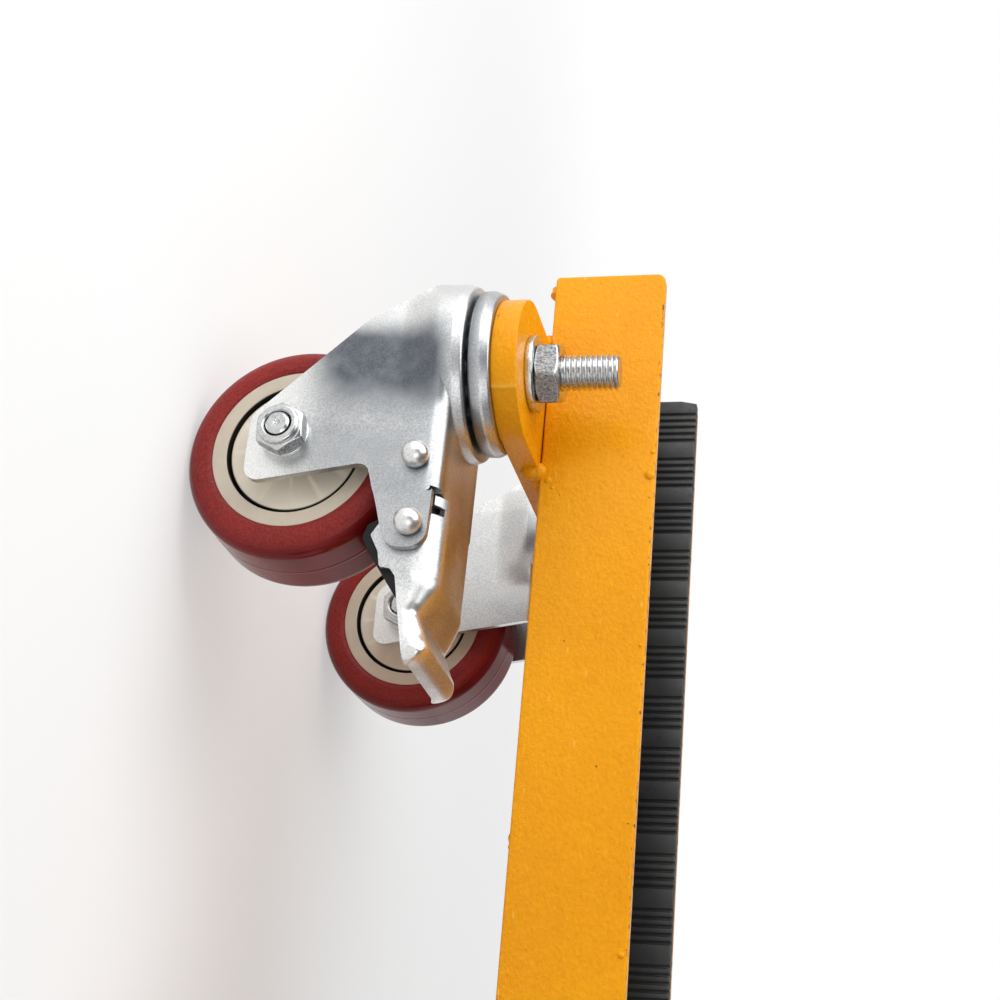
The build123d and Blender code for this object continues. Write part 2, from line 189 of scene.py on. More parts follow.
# %% [markdown]
# ## From grids to pieces
# A piece is one object: its patches are joined, doubled points are merged and the faces are turned outwards.
# It rides on a body of the frame, names the finish that it takes, and says which solids it stands for.

# %% Making a piece
MERGE_WITHIN, SLIVER, RIM_ANGLE = 1e-6, 1e-7, 0.9


def piece(name, patches, finish, body, nodes=(), sheet=0.0, rim=0.3):
    """One object from patches of points and faces.

    A sheet is an open surface that gets its thickness and a round rim.
    """
    starts = np.cumsum([0] + [len(points) for points, _ in patches])
    points = np.vstack([points for points, _ in patches]) * MILLIMETRE
    faces = [[start + i for i in face] for start, (_, group) in zip(starts, patches) for face in group]
    mesh = bpy.data.meshes.new(name)
    mesh.from_pydata(points.tolist(), [], faces)
    work = bmesh.new()
    work.from_mesh(mesh)
    bmesh.ops.remove_doubles(work, verts=work.verts, dist=MERGE_WITHIN)
    bmesh.ops.dissolve_degenerate(work, edges=work.edges, dist=SLIVER)
    if not sheet:
        bmesh.ops.recalc_face_normals(work, faces=work.faces)
    work.to_mesh(mesh)
    work.free()
    sides = np.empty(len(mesh.polygons), np.int32)
    mesh.polygons.foreach_get("loop_total", sides)
    mesh.polygons.foreach_set("use_smooth", sides <= 4)
    made = bpy.data.objects.new(name, mesh)
    bpy.context.scene.collection.objects.link(made)
    mesh.materials.append(finishes[finish])
    if sheet:
        wall = made.modifiers.new("sheet", "SOLIDIFY")
        wall.thickness = sheet * MILLIMETRE
        wall.offset = -1
        wall.use_even_offset = True
        round_rim = made.modifiers.new("rim", "BEVEL")
        round_rim.width = rim * MILLIMETRE
        round_rim.segments = 2
        round_rim.limit_method = "ANGLE"
        round_rim.angle_limit = RIM_ANGLE
        round_rim.harden_normals = True
    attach(made, body)
    if nodes:
        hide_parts(*nodes)
    print(name, len(mesh.vertices), "points on", body)
    return made


def points_of(made):
    """The points of a piece in millimetres, one row each."""
    flat = np.empty(3 * len(made.data.vertices))
    made.data.vertices.foreach_get("co", flat)
    return flat.reshape(-1, 3) / MILLIMETRE


def mark(made, name, values):
    """Keeps a number on every point of a piece, which its finish can read by this name."""
    made.data.attributes.new(name, "FLOAT", "POINT").data.foreach_set("value", values.astype(np.float32))


def smooth_step(value, low, high):
    """0 below low, 1 above high, and 3 t^2 - 2 t^3 between."""
    share = np.clip((value - low) / (high - low), 0, 1)
    return share * share * (3 - 2 * share)


print("piece helpers ready")

# %% [markdown]
# ## Finishes
# The real cart has sprayed gloss paint, zinc-plated pressed steel, brighter plated fasteners,
# ribbed black rubber, red polyurethane tyres and beige moulded hubs.
# Each is a small node tree on Object coordinates, so that grain and specks keep their real size
# on every piece.

# %% Node helpers
class Nodes:
    """Short calls for the nodes of one tree. An input takes a value or the output of another node."""

    def __init__(self, tree):
        self.tree = tree

    def set(self, socket, value):
        if isinstance(value, bpy.types.NodeSocket):
            self.tree.links.new(value, socket)
        else:
            socket.default_value = value

    def node(self, kind, *values, **inputs):
        """A new node: the values go to its first inputs in their order, the rest to inputs by name."""
        made = self.tree.nodes.new("ShaderNode" + kind)
        for socket, value in zip(made.inputs, values):
            self.set(socket, value)
        for name, value in inputs.items():
            self.set(made.inputs[name.replace("_", " ")], value)
        return made

    def levels(self, factor, low, high, start=0.0, end=1.0, curve="LINEAR"):
        made = self.node("MapRange", Value=factor, From_Min=low, From_Max=high, To_Min=start, To_Max=end)
        made.interpolation_type = curve
        return made.outputs["Result"]

    def math(self, operation, first, second):
        made = self.node("Math", first, second)
        made.operation = operation
        return made.outputs[0]

    def seen(self):
        """1 for rays from the camera, for reflections and for see-through rays, 0 for light that is shed."""
        path = self.node("LightPath").outputs
        shown = self.math("MAXIMUM", path["Is Camera Ray"], path["Is Glossy Ray"])
        return self.math("MAXIMUM", shown, path["Is Transmission Ray"])


class Finish(Nodes):
    """A Principled material whose colour, roughness and bump are worked out by nodes."""

    def __init__(self, name, **values):
        self.name, self.material = name, bpy.data.materials.new(name)
        self.material.use_nodes = True
        super().__init__(self.material.node_tree)
        self.shader = self.tree.nodes["Principled BSDF"]
        self.place = self.node("TexCoord").outputs["Object"]
        for socket, value in values.items():
            self.shader.inputs[socket.replace("_", " ")].default_value = value

    def noise(self, scale, detail=2.0, roughness=0.5, stretch=None):
        place = self.place
        if stretch:
            place = self.node("Mapping", Vector=place, Scale=stretch).outputs[0]
        made = self.node("TexNoise", Vector=place, Scale=scale, Detail=detail, Roughness=roughness)
        return made.outputs["Fac"]

    def ramp(self, factor, *stops):
        made = self.node("ValToRGB", Fac=factor)
        elements = made.color_ramp.elements
        elements.remove(elements[1])
        for n, (at, colour) in enumerate(stops):
            element = elements[0] if n == 0 else elements.new(at)
            element.position = at
            element.color = (*colour, 1)
        return made.outputs["Color"]

    def mix(self, factor, first, second):
        made = self.node("Mix")
        made.data_type = "RGBA"
        self.set(made.inputs["Factor"], factor)
        self.set(made.inputs[6], first)
        self.set(made.inputs[7], second)
        return made.outputs[2]

    def laid_over(self, colour, where, strength, other):
        """The colour with another one laid over it, at this strength, where a pattern is 1."""
        return self.mix(self.math("MULTIPLY", where, strength), colour, other)

    def uneven(self, scale, low, high, detail=2.0):
        """A value that drifts from low to high and back with noise."""
        return self.levels(self.noise(scale, detail), 0.3, 0.7, low, high)

    def attribute(self, name):
        made = self.node("Attribute")
        made.attribute_name = name
        return made.outputs["Fac"]

    def specks(self, scale, share, size, stretch=(1, 1, 1)):
        """Specks in a share of the cells of a Voronoi pattern: 1 in a speck, 0 elsewhere."""
        place = self.node("Mapping", Vector=self.place, Scale=stretch).outputs[0]
        cells = self.node("TexVoronoi", Vector=place, Scale=scale)
        near = self.math("LESS_THAN", cells.outputs["Distance"], size)
        lot = self.node("SeparateColor", Color=cells.outputs["Color"]).outputs[0]
        return self.math("MULTIPLY", near, self.math("LESS_THAN", lot, share))

    def bump(self, height, strength, distance, below=None):
        made = self.node("Bump", Strength=strength, Distance=distance, Height=height)
        if below is not None:
            self.set(made.inputs["Normal"], below)
        return made.outputs["Normal"]

    def finish(self, colour, roughness, normal=None):
        self.set(self.shader.inputs["Base Color"], colour)
        self.set(self.shader.inputs["Roughness"], roughness)
        if normal is not None:
            self.set(self.shader.inputs["Normal"], normal)
        finishes[self.name] = self.material


finishes = {}
print("node helpers ready")

# %% [markdown]
# ### Gloss paint
# The frame is sprayed orange-yellow in one thick coat. It dries with a fine orange peel, its tone drifts
# a little, and bits of weld spatter and dust lie under it as dark pin points.
# A bump from two sizes of noise gives the peel, and Voronoi patterns the pin points and short light dashes
# of painted glint, which also get a faint bump.
# The attribute "rim" tells where knocks have chipped the coat and left it dull, and "line" where a
# painted highlight runs along an edge.

# %% Gloss paint
paint = Finish("frame_paint", Coat_Weight=0.06, Coat_Roughness=0.12)
drift = paint.noise(16.0, 3.0)
tone = paint.ramp(drift, (0.3, (0.76, 0.292, 0.002)), (0.7, (0.86, 0.350, 0.003)))
peel = paint.noise(950.0, 3.0, 0.55, (0.8, 1, 1))
tone = paint.mix(paint.levels(peel, 0.56, 0.74, 0, 0.35), tone, (0.98, 0.47, 0.02, 1))
tone = paint.mix(paint.levels(peel, 0.44, 0.26, 0, 0.35), tone, (0.60, 0.21, 0.002, 1))
# Painted glints: short light dashes stretched along X.
glint_dashes = paint.specks(520.0, 0.11, 0.15, (0.25, 1, 1))
tone = paint.laid_over(tone, glint_dashes, 0.45, (1.0, 0.60, 0.14, 1))
pin_points = paint.specks(170.0, 0.11, 0.06)
tone = paint.laid_over(tone, pin_points, 0.85, (0.13, 0.045, 0.004, 1))
rim = paint.attribute("rim")
chips = paint.levels(paint.noise(330.0, 3.0, 0.6), 0.58, 0.63)
tone = paint.laid_over(tone, rim, chips, (0.16, 0.085, 0.035, 1))
# Painted highlight: a light line where "line" is marked.
tone = paint.laid_over(tone, paint.attribute("line"), 0.8, (1.0, 0.52, 0.06, 1))
peel_bump = paint.bump(peel, 0.75, 0.0004)
wave_bump = paint.bump(paint.noise(160.0, 2.0), 0.22, 0.0012, peel_bump)
glint_bump = paint.bump(glint_dashes, 0.4, 0.0002, wave_bump)
gloss = paint.uneven(300.0, 0.22, 0.34)
paint.set(paint.shader.inputs["Specular IOR Level"], paint.levels(rim, 0, 1, 0.13, 0.03))
paint.finish(tone, gloss, glint_bump)
print("paint", len(paint.tree.nodes), "nodes")

# %% [markdown]
# ### Zinc-plated pressed steel
# Forks, races, pedals and rivets are formed from steel and plated. The plating has a fine crystal grain
# and cloudy tones, and is rubbed smooth here and there.
# Fine noise gives the grain in colour and bump, and broad noise the clouds and the rubbed places.
# Two attributes lay painted light into the colour: painted shade for dark reflections and contact shade,
# and painted paleness for highlights and light reflections.

# %% Zinc on pressed steel
zinc = Finish("fork_zinc", Metallic=1.0)
grain = zinc.noise(1900.0, 2.0, 0.6)
clouds = zinc.noise(34.0, 4.0, 0.6)
plating = zinc.ramp(
    clouds, (0.30, (0.52, 0.535, 0.545)), (0.5, (0.66, 0.67, 0.67)), (0.72, (0.78, 0.785, 0.77))
)
# Painted shade: a dark colour laid where a piece is marked, broken up by noise.
mottle = zinc.levels(zinc.noise(150.0, 4.0, 0.65), 0.25, 0.7, 1.12, 0.84)
plating = zinc.laid_over(plating, zinc.attribute("painted_shade"), mottle, (0.095, 0.108, 0.122, 1))
# Painted light: a pale colour laid where a piece is marked.
painted_light = zinc.attribute("painted_light")
plating = zinc.mix(painted_light, plating, (0.93, 0.935, 0.91, 1))
crystals = zinc.levels(grain, 0.66, 0.32, 0.0, 0.55)
plating = zinc.laid_over(plating, crystals, zinc.levels(painted_light, 0, 1, 1, 0.5), (0.20, 0.21, 0.24, 1))
rubbed = zinc.levels(zinc.noise(75.0, 3.0), 0.35, 0.7, 0.29, 0.42)
zinc.finish(plating, rubbed, zinc.bump(grain, 0.08, 0.00015))
print("zinc", len(zinc.tree.nodes), "nodes")

# %% [markdown]
# ### Plated fasteners
# Nuts, bolts and washers are cut or headed and then plated brighter than the sheet.
# The flats of a nut are left rough from cutting, which the attribute "cut" tells, and look dark and speckled.
# Springs are blued and bearing balls polished: plain tones of noise are enough for them.

# %% Bright fasteners
bright = Finish("fastener_zinc", Metallic=1.0)
pits = bright.noise(900.0, 3.0, 0.6)
shine = bright.ramp(
    pits, (0.30, (0.46, 0.475, 0.485)), (0.5, (0.62, 0.63, 0.635)), (0.8, (0.74, 0.745, 0.74))
)
warm = bright.levels(bright.noise(90.0), 0.45, 0.75, 0, 0.35)
shine = bright.mix(warm, shine, (0.56, 0.545, 0.47, 1))
cut = bright.attribute("cut")
speckle = bright.levels(bright.noise(2300.0, 2.0, 0.6, (1, 1, 0.6)), 0.32, 0.66, 1.0, 0.35)
shine = bright.laid_over(shine, cut, speckle, (0.085, 0.095, 0.11, 1))
smooth = bright.math("ADD", bright.uneven(260.0, 0.17, 0.30), bright.math("MULTIPLY", cut, 0.14))
bright.finish(shine, smooth, bright.bump(pits, 0.05, 0.0001))

spring = Finish("spring_steel", Metallic=1.0)
blued = spring.ramp(spring.noise(220.0, 3.0), (0.3, (0.20, 0.205, 0.22)), (0.7, (0.33, 0.33, 0.33)))
spring.finish(blued, spring.uneven(900.0, 0.26, 0.42))

ball = Finish("ball_steel", Metallic=1.0)
polish = ball.ramp(ball.noise(500.0, 2.0), (0.3, (0.52, 0.52, 0.53)), (0.7, (0.62, 0.62, 0.62)))
ball.finish(polish, ball.uneven(350.0, 0.08, 0.16))
print("fasteners", len(bright.tree.nodes), "nodes")

# %% [markdown]
# ### Polyurethane, hub plastic and rubber
# The tyre is cast: its tread stays glossy, and its side is duller and a little dusty, which the attribute
# "side" tells.
# The hub is moulded with a faint flow of tone. Painted shade darkens its groove and the rims of its dust covers,
# and the covers are painted paler to stand in for light where the fork shades them.
# The rubber lining is nearly black with a dusty bloom.

# %% Cast and moulded finishes
cast = Finish("tyre_red", Specular_IOR_Level=0.17, Coat_Weight=0.03, Coat_Roughness=0.12)
side = cast.attribute("side")
body_red = cast.ramp(cast.noise(60.0, 3.0), (0.3, (0.150, 0.0065, 0.007)), (0.7, (0.205, 0.010, 0.010)))
dust = cast.levels(cast.noise(1300.0, 3.0), 0.35, 0.8, 0.12, 0.60)
red = cast.mix(side, body_red, cast.mix(dust, body_red, (0.38, 0.055, 0.046, 1)))
red = cast.laid_over(red, cast.specks(260.0, 0.10, 0.07), 0.5, (0.42, 0.20, 0.17, 1))
skin = cast.math("ADD", cast.levels(side, 0, 1, 0.16, 0.40), cast.uneven(300.0, -0.03, 0.05))
cast.finish(red, skin, cast.bump(cast.noise(700.0, 2.0), 0.08, 0.0003))

moulded = Finish("hub_plastic")
flow = moulded.noise(55.0, 4.0, 0.6)
beige = moulded.ramp(flow, (0.3, (0.52, 0.445, 0.350)), (0.7, (0.62, 0.545, 0.445)))
beige = moulded.laid_over(beige, moulded.specks(260.0, 0.05, 0.05), 0.6, (0.20, 0.15, 0.10, 1))
# Painted light on the dust covers.
beige = moulded.mix(moulded.attribute("painted_light"), beige, (0.80, 0.725, 0.60, 1))
# Painted shade in the groove and on the covers' rims.
beige = moulded.mix(moulded.attribute("painted_recess_shade"), beige, (0.022, 0.016, 0.012, 1))
pores = moulded.bump(moulded.noise(900.0, 3.0), 0.14, 0.0003)
moulded.finish(beige, moulded.uneven(400.0, 0.38, 0.55), pores)

lining = Finish("lining_rubber")
bloom = lining.ramp(lining.noise(45.0, 4.0), (0.3, (0.018, 0.018, 0.018)), (0.75, (0.038, 0.038, 0.036)))
bloom = lining.laid_over(bloom, lining.specks(170.0, 0.04, 0.05), 0.7, (0.22, 0.21, 0.19, 1))
pores = lining.bump(lining.noise(1100.0, 2.0), 0.15, 0.0002)
lining.finish(bloom, lining.uneven(600.0, 0.42, 0.62, 3.0), pores)

stop = Finish("brake_rubber", Specular_IOR_Level=0.25)
worn = stop.ramp(stop.noise(160.0, 3.0), (0.3, (0.004, 0.004, 0.0045)), (0.8, (0.010, 0.010, 0.010)))
stop.finish(worn, stop.uneven(500.0, 0.40, 0.60), stop.bump(stop.noise(900.0), 0.2, 0.0002))
print(len(finishes), "finishes")

# %% [markdown]
# ### Finishes on the solids
# Bearings, sleeves, balls and springs lie nearly hidden, so they keep the solids that they came with.
# The record names the finish of every solid.

# %% Finishes on the solids
slots = {part["node"]: part["material_slot"] for part in frame["record"]["subparts"]}
for name, node in frame["nodes"].items():
    node.data.materials.clear()
    node.data.materials.append(finishes[slots[name]])
print(len(slots), "solids have their finish")

# %% [markdown]
# ## The channel
# Two flat bars on edge and a base plate between them are welded into a trough.
# A box would have razor edges, so each plate is its outline with arcs at the corners and a quarter round
# along every rim, as a thick coat of paint leaves it.

# %% Side plates and base plate
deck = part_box("crossbars")[1].z / MILLIMETRE
wall_seam = 0.4


def span(node):
    """The lowest and highest corner of a solid in millimetres."""
    low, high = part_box(node)
    return np.array(low) / MILLIMETRE, np.array(high) / MILLIMETRE


def rectangle(start, foot, end, top, lower, upper):
    """A rectangle with its two lower and its two upper corners rounded by these radii."""
    return rounded([(start, foot, lower), (end, foot, lower), (end, top, upper), (start, top, upper)])


for side_name in ("left", "right"):
    low, high = span(f"{side_name}_side_plate")
    outline = rectangle(low[0], low[2] + wall_seam, high[0], high[2], 1.4, 3.0)
    patch = moved(plate(outline, -high[1], -low[1], 0.7), ON_EDGE)
    wall = piece(f"{side_name}_wall", [patch], "frame_paint", "frame", [f"{side_name}_side_plate"])
    mark(wall, "rim", smooth_step(points_of(wall)[:, 2], high[2] - 0.62, high[2] - 0.3))

low, high = span("base_plate")
outline = rectangle(low[0], low[1], high[0], high[1], 0.8, 0.8)
piece("channel_floor", [plate(outline, low[2], high[2], 0.4)], "frame_paint", "frame", ["base_plate"])

# %% [markdown]
# ## Crossbars
# Two flat bars with round ends carry the channel and hold the casters.
# A stadium outline would be smooth all round, but the round cut meets the bar's inner side in a small edge,
# where the paint stands thick, and a light line of painted highlight runs along it.

# %% Crossbars
bar_width, stem_x = 49.0, 149.0
edge_turn, edge_lift, side_lead, painted_highlight_reach = np.radians(53.0), 0.18, 8.3, 0.5


def bar_outline(middle, half_width, half_length):
    """Two straight sides and two round ends, and the place of one inner edge.

    On the bar's inner side the round cut meets the side in an edge. From there a parabola,
    (1 - s)^2 * side + 2 s (1 - s) * corner + s^2 * edge, leads over into the straight side.
    """
    centre = half_length - half_width
    turn = np.linspace(edge_turn, np.pi, 60)
    arc = np.stack([half_width * np.cos(turn), centre + half_width * np.sin(turn)], -1)
    side, corner = np.array([half_width, centre]), np.array([half_width, centre + side_lead])
    share = np.linspace(0, 0.97, 24)[:, None]
    lead = (1 - share) ** 2 * side + 2 * share * (1 - share) * corner + share**2 * arc[0]
    lip = arc[0] + edge_lift * np.array([np.cos(edge_turn), np.sin(edge_turn)])
    half = np.vstack([lead, lip, arc[1:]])
    inwards = (-np.sign(middle), 1)
    return np.vstack([half, (half * (1, -1))[::-1]]) * inwards + (middle, 0), lip * inwards + (middle, 0)


low, high = span("crossbars")
bars = []
for at in (-stem_x, stem_x):
    outline, lip = bar_outline(at, bar_width / 2, high[1])
    bars.append(plate(outline, low[2], high[2], 0.6))
crossbars = piece("bars_across", bars, "frame_paint", "frame", ["crossbars"])
# Painted highlight: a light line of colour within a short reach of each inner edge.
from_lip = np.abs(points_of(crossbars)[:, :2]) - np.abs(lip)
mark(crossbars, "line", 1.0 * (np.hypot(*from_lip.T) < painted_highlight_reach))

# %% [markdown]
# ## Welds
# A run of weld joins each crossbar to the channel, and short beads close the seams under it.
# A plain round bar would look like a moulding, so the bead's radius swells and shrinks along its run,
# as the puddle freezes.

# %% Weld beads
SHORT_RIPPLE, LONG_RIPPLE = 3.1, 11.0


def bead(start, end, radius, ripple, seed):
    """A lumpy bar from one point to another: radius * (1 + ripples of two lengths), closing in at both ends.

    The ends follow a quarter ellipse, so that the run starts and stops as a rounded drop.
    """
    start, end = np.asarray(start, float), np.asarray(end, float)
    length = np.linalg.norm(end - start)
    ahead = (end - start) / length
    beside = np.cross(ahead, (0, 0, 1.0) if abs(ahead[2]) < 0.9 else (1.0, 0, 0))
    above = np.cross(beside, ahead)
    along = np.linspace(0, 1, int(length * 2.5) + 12)[:, None]
    angle = np.linspace(0, 2 * np.pi, 24, endpoint=False)[None]
    short, long = 2 * np.pi * along * length / SHORT_RIPPLE, 2 * np.pi * along * length / LONG_RIPPLE
    phase = seed * 1.7
    swell = 1 + ripple * np.sin(short + phase + 0.8 * np.cos(angle))
    swell += 0.7 * ripple * np.sin(long + 2.3 * phase) + 0 * angle
    reach = np.minimum(along, 1 - along) * length / radius
    close = np.sqrt(np.clip(1 - (1 - np.clip(reach, 0, 1)) ** 2, 1e-4, 1))
    size = radius * swell * close
    grid = start + ahead * (along * length)[..., None]
    grid = grid + beside * (size * np.cos(angle))[..., None] + above * (size * np.sin(angle))[..., None]
    return rings(grid)


half_channel = span("right_side_plate")[1][1]
seam = span("base_plate")[1][1]
run_radius, run_sink, run_gap, run_inset, run_ripple = 2.9, 1.0, 1.3, 0.4, 0.10
corner_depth, corner_gap, corner_ripple = 6.4, 0.2, 0.03
inner_corner, outer_corner = {"radius": 3.1, "rise": 2.6}, {"radius": 1.8, "rise": 0.6}
weld_runs = []
for n, bar in enumerate((-stem_x, stem_x)):
    for m, edge in enumerate((-1, 1)):
        place, across = bar + edge * (bar_width / 2 + run_gap), half_channel - run_inset
        run = ((place, -across, deck - run_sink), (place, across, deck - run_sink))
        weld_runs.append(bead(*run, run_radius, run_ripple, 3 * n + m))
        place = bar + edge * (bar_width / 2 + corner_gap)
        shape = inner_corner if edge * bar < 0 else outer_corner
        for side in (-1, 1):
            across = side * (half_channel - corner_gap)
            run = ((place, across, deck - corner_depth), (place, across, deck + shape["rise"]))
            weld_runs.append(bead(*run, shape["radius"], corner_ripple, 5 * n + m + side))
seam_places = {-196.0: 2.3, -95.0: 1.2, 0.0: 1.2, 95.0: 1.2, 196.0: 2.3}
seam_half, seam_lift, seam_ripple = 3.0, 0.4, 0.12
for n, (place, radius) in enumerate(seam_places.items()):
    for across in (-seam, seam):
        run = ((place - seam_half, across, deck + seam_lift), (place + seam_half, across, deck + seam_lift))
        weld_runs.append(bead(*run, radius, seam_ripple, n))
piece("weld_runs", weld_runs, "frame_paint", "frame", ["weld_beads"])

# %% [markdown]
# ## Drops of paint
# The wet coat gathers in drops near the upper edge of the walls and runs into lumps where it meets a burr.
# Each is a low dome on the wall's face: its height is h * (1 - (r / radius)^2) ^ 0.7,
# which stands steep at its foot.

# %% Paint drops
foot_sink = 0.4


def drop(x, z, radius, height):
    """A dome that stands out of the wall's outer face, towards -Y, with its foot sunk into the wall."""
    angle = np.arange(28) * 2 * np.pi / 28
    away = np.concatenate([[1.0], np.cos(np.linspace(0.05, np.pi / 2 - 0.02, 9))])[:, None]
    rise = np.concatenate([[[-foot_sink]], height * np.clip(1 - away[1:] ** 2, 0, 1) ** 0.7])
    across = -half_channel - rise + 0 * angle
    return rings(np.stack([x + radius * away * np.cos(angle), across, z + radius * away * np.sin(angle)], -1))


wall_top = span("left_side_plate")[1][2]
edge_drops = [(-122.6, 1.6, 1.7, 1.1), (-131.0, 0.9, 0.8, 0.45), (-114.6, 1.2, 0.5, 0.3)]
edge_drops += [(-63.0, 1.4, 0.7, 0.4), (34.0, 1.8, 1.1, 0.7), (141.0, 1.1, 0.8, 0.5)]
drops = [drop(x, wall_top - below, radius, height) for x, below, radius, height in edge_drops]
drops += [drop(-121.1, deck + 3.2, 1.2, 0.6), drop(176.0, deck + 2.6, 1.0, 0.5)]
spatter = [(-118.3, 4.8, 0.6), (-115.9, 7.8, 0.55), (-117.4, 7.0, 0.4)]
spatter += [(-114.2, 5.2, 0.35), (-112.5, 3.4, 0.45), (-120.4, 6.4, 0.3)]
drops += [drop(x, deck + z, radius, 0.6 * radius) for x, z, radius in spatter]
drops += [moved(patch, HALF_TURN) for patch in drops[2:]]
piece("paint_drops", drops, "frame_paint", "frame")

# %% [markdown]
# ## Ribbed rubber
# The lining is extruded rubber: groups of narrow grooves with smooth bands between them.
# A wave could fake the ribs in a bump map, but the grooves show at the ends, so the height of the sheet
# is worked out along its length and carried across it.

# %% Rubber lining
groove_width, groove_depth, groove_pitch = 1.35, 1.0, 2.83
grooves_in_group, group_pitch = 5, 19.44
trim_height, trim_length = 6.0, 3.0


def groove_places(first, length):
    """The middle of each groove: five at the groove pitch, repeated at the group pitch while they fit."""
    groups = np.arange(0, length, group_pitch)
    places = first + groups[:, None] + groove_pitch * np.arange(grooves_in_group)
    return places[places[:, -1] < length - groove_width].ravel()


def ribbed_sheet(first, length, thickness, low, high, cut=0.0):
    """A sheet along X from low to high in Z with its back at Y = 0 and its ribs towards -Y.

    At each groove the height falls by the groove's depth over two soft shoulders.
    The upper rim is rounded, and its end corners may be trimmed back.
    """
    half = groove_width / 2
    shape = np.array([(-half - 0.22, 0), (-half - 0.06, 0.06), (-half + 0.04, 0.3), (-half + 0.12, 1)])
    shape = np.vstack([shape, shape[::-1] * (-1, 1)])
    places = groove_places(first, length)
    end_x, end_fall = np.array([0, 0.35, 1.2, 3.4]), np.array([0.35, 0, 0, 0])
    x = np.concatenate([end_x, (places[:, None] + shape[:, 0]).ravel(), length - end_x[::-1]])
    fall = np.concatenate([end_fall, np.tile(shape[:, 1] * groove_depth, len(places)), end_fall[::-1]])
    face = np.stack([x - length / 2, thickness - fall], -1)
    back = np.stack([x[::-1] - length / 2, 0 * x], -1)
    loop = np.vstack([face, back])
    levels = np.array([low, high - trim_height, high - 0.6, high - 0.25, high])
    shrink = np.array([0, 0, 0, 0.12, 0.45])
    nearest = length / 2 - np.abs(loop[:, 0])
    depth = np.where(loop[None, :, 1] > 0, loop[None, :, 1] - shrink[:, None], 0)
    upper = np.clip((levels - high + trim_height) / trim_height, 0, 1)[:, None]
    trim = cut * upper * np.clip(1 - nearest / trim_length, 0, 1)
    along = loop[None, :, 0] - np.sign(loop[None, :, 0]) * trim
    return rings(np.stack([along, -depth, np.broadcast_to(levels[:, None], depth.shape)], -1))


first_groove, corner_trim, near_pad_lower = 6.0, 1.2, 1.3
low, high = span("right_side_pad")
pads = {"right": (0.0, UPRIGHT, high[1]), "left": (near_pad_lower, HALF_TURN, -high[1])}
for side_name, (lower, turn, back) in pads.items():
    top, length, thickness = high[2] - lower, high[0] - low[0], high[1] - low[1]
    patch = moved(ribbed_sheet(first_groove, length, thickness, low[2], top, corner_trim), turn, (0, back, 0))
    piece(f"{side_name}_lining", [patch], "lining_rubber", "frame", [f"{side_name}_side_pad"])

low, high = span("floor_pad")
pad_middle, group_width = 200.0, (grooves_in_group - 1) * groove_pitch
first_groove = pad_middle + (group_pitch - group_width) / 2 - 10 * group_pitch
floor_sheet = ribbed_sheet(first_groove, high[0] - low[0], high[2] - low[2], low[1], high[1])
patch = moved(floor_sheet, ACROSS, (0, 0, low[2]))
piece("floor_lining", [patch], "lining_rubber", "frame", ["floor_pad"])

# %% [markdown]
# ## Threads, nuts and washers
# A thread can be a screw modifier, but its start and run-out are hard to steer there.
# Here the radius is a wave of height and angle together, which is a helix, and the end is turned down
# to a chamfer.

# %% Turned fasteners
def threaded(radius, pitch, low, high, chamfer):
    """A threaded bar: the radius falls by the thread's depth as a wave of height / pitch - angle / full turn.

    The crest is narrow and the root is round, and near the top the radius is limited by the chamfer's cone.
    """
    depth = 0.61 * pitch
    angle = np.linspace(0, 2 * np.pi, 48, endpoint=False)[None]
    height = np.linspace(low, high, int((high - low) / pitch * 12))[:, None]
    phase = (height / pitch - angle / (2 * np.pi)) % 1
    wave = np.clip(1.25 * np.abs(2 * phase - 1) - 0.08, 0, 1)
    size = radius - depth * (1 - wave)
    size = np.minimum(size, radius - chamfer + (high - height))
    height = height + 0 * angle
    return rings(np.stack([size * np.cos(angle), size * np.sin(angle), height], -1))


def hexagonal(profile, across_flats, turn=0.0, segments=96):
    """A closed profile carried round the Z axis, with its radius held inside a hexagon.

    The hexagon's radius is (half across flats) / cos(angle from the nearest flat's middle),
    and where the profile is smaller it cuts the curved chamfers of a real nut.
    """
    angle = np.arange(segments) * 2 * np.pi / segments
    from_flat = (angle + np.pi / 6) % (np.pi / 3) - np.pi / 6
    limit = across_flats / 2 / np.cos(from_flat)
    profile = np.asarray(profile, float)
    radius = np.minimum(profile[:, :1], limit[None])
    angle = angle + np.radians(turn)
    height = profile[:, 1:] + 0 * angle
    return rings(np.stack([radius * np.cos(angle), radius * np.sin(angle), height], -1), close=True)


# A nut's chamfer starts at this share of the radius of its flats and falls by this slope.
CHAMFER_SHARE, CHAMFER_SLOPE = 0.95, np.tan(np.radians(30))


def nut_profile(bore, across_flats, low, high, sides=(True, True)):
    """Half the section of a hexagon nut: flat faces, a chamfer on the chosen ends and a bevelled bore."""
    corner = across_flats / 3**0.5
    flat = CHAMFER_SHARE * across_flats / 2
    fall = (corner - flat) * CHAMFER_SLOPE
    steps = np.linspace(0, 1, 6)[:, None]
    lower = np.array([[flat, low], [corner, low + fall]]) if sides[0] else np.array([[corner, low]] * 2)
    upper = np.array([[corner, high - fall], [flat, high]]) if sides[1] else np.array([[corner, high]] * 2)
    rows = [[(bore, low + 0.5), (bore + 0.5, low)], lower[0] + steps * (lower[1] - lower[0])]
    rows += [[(corner, low + fall + 0.4)], [(corner, high - fall - 0.4)]]
    rows += [upper[0] + steps * (upper[1] - upper[0]), [(bore + 0.5, high), (bore, high - 0.5)]]
    return np.vstack(rows)


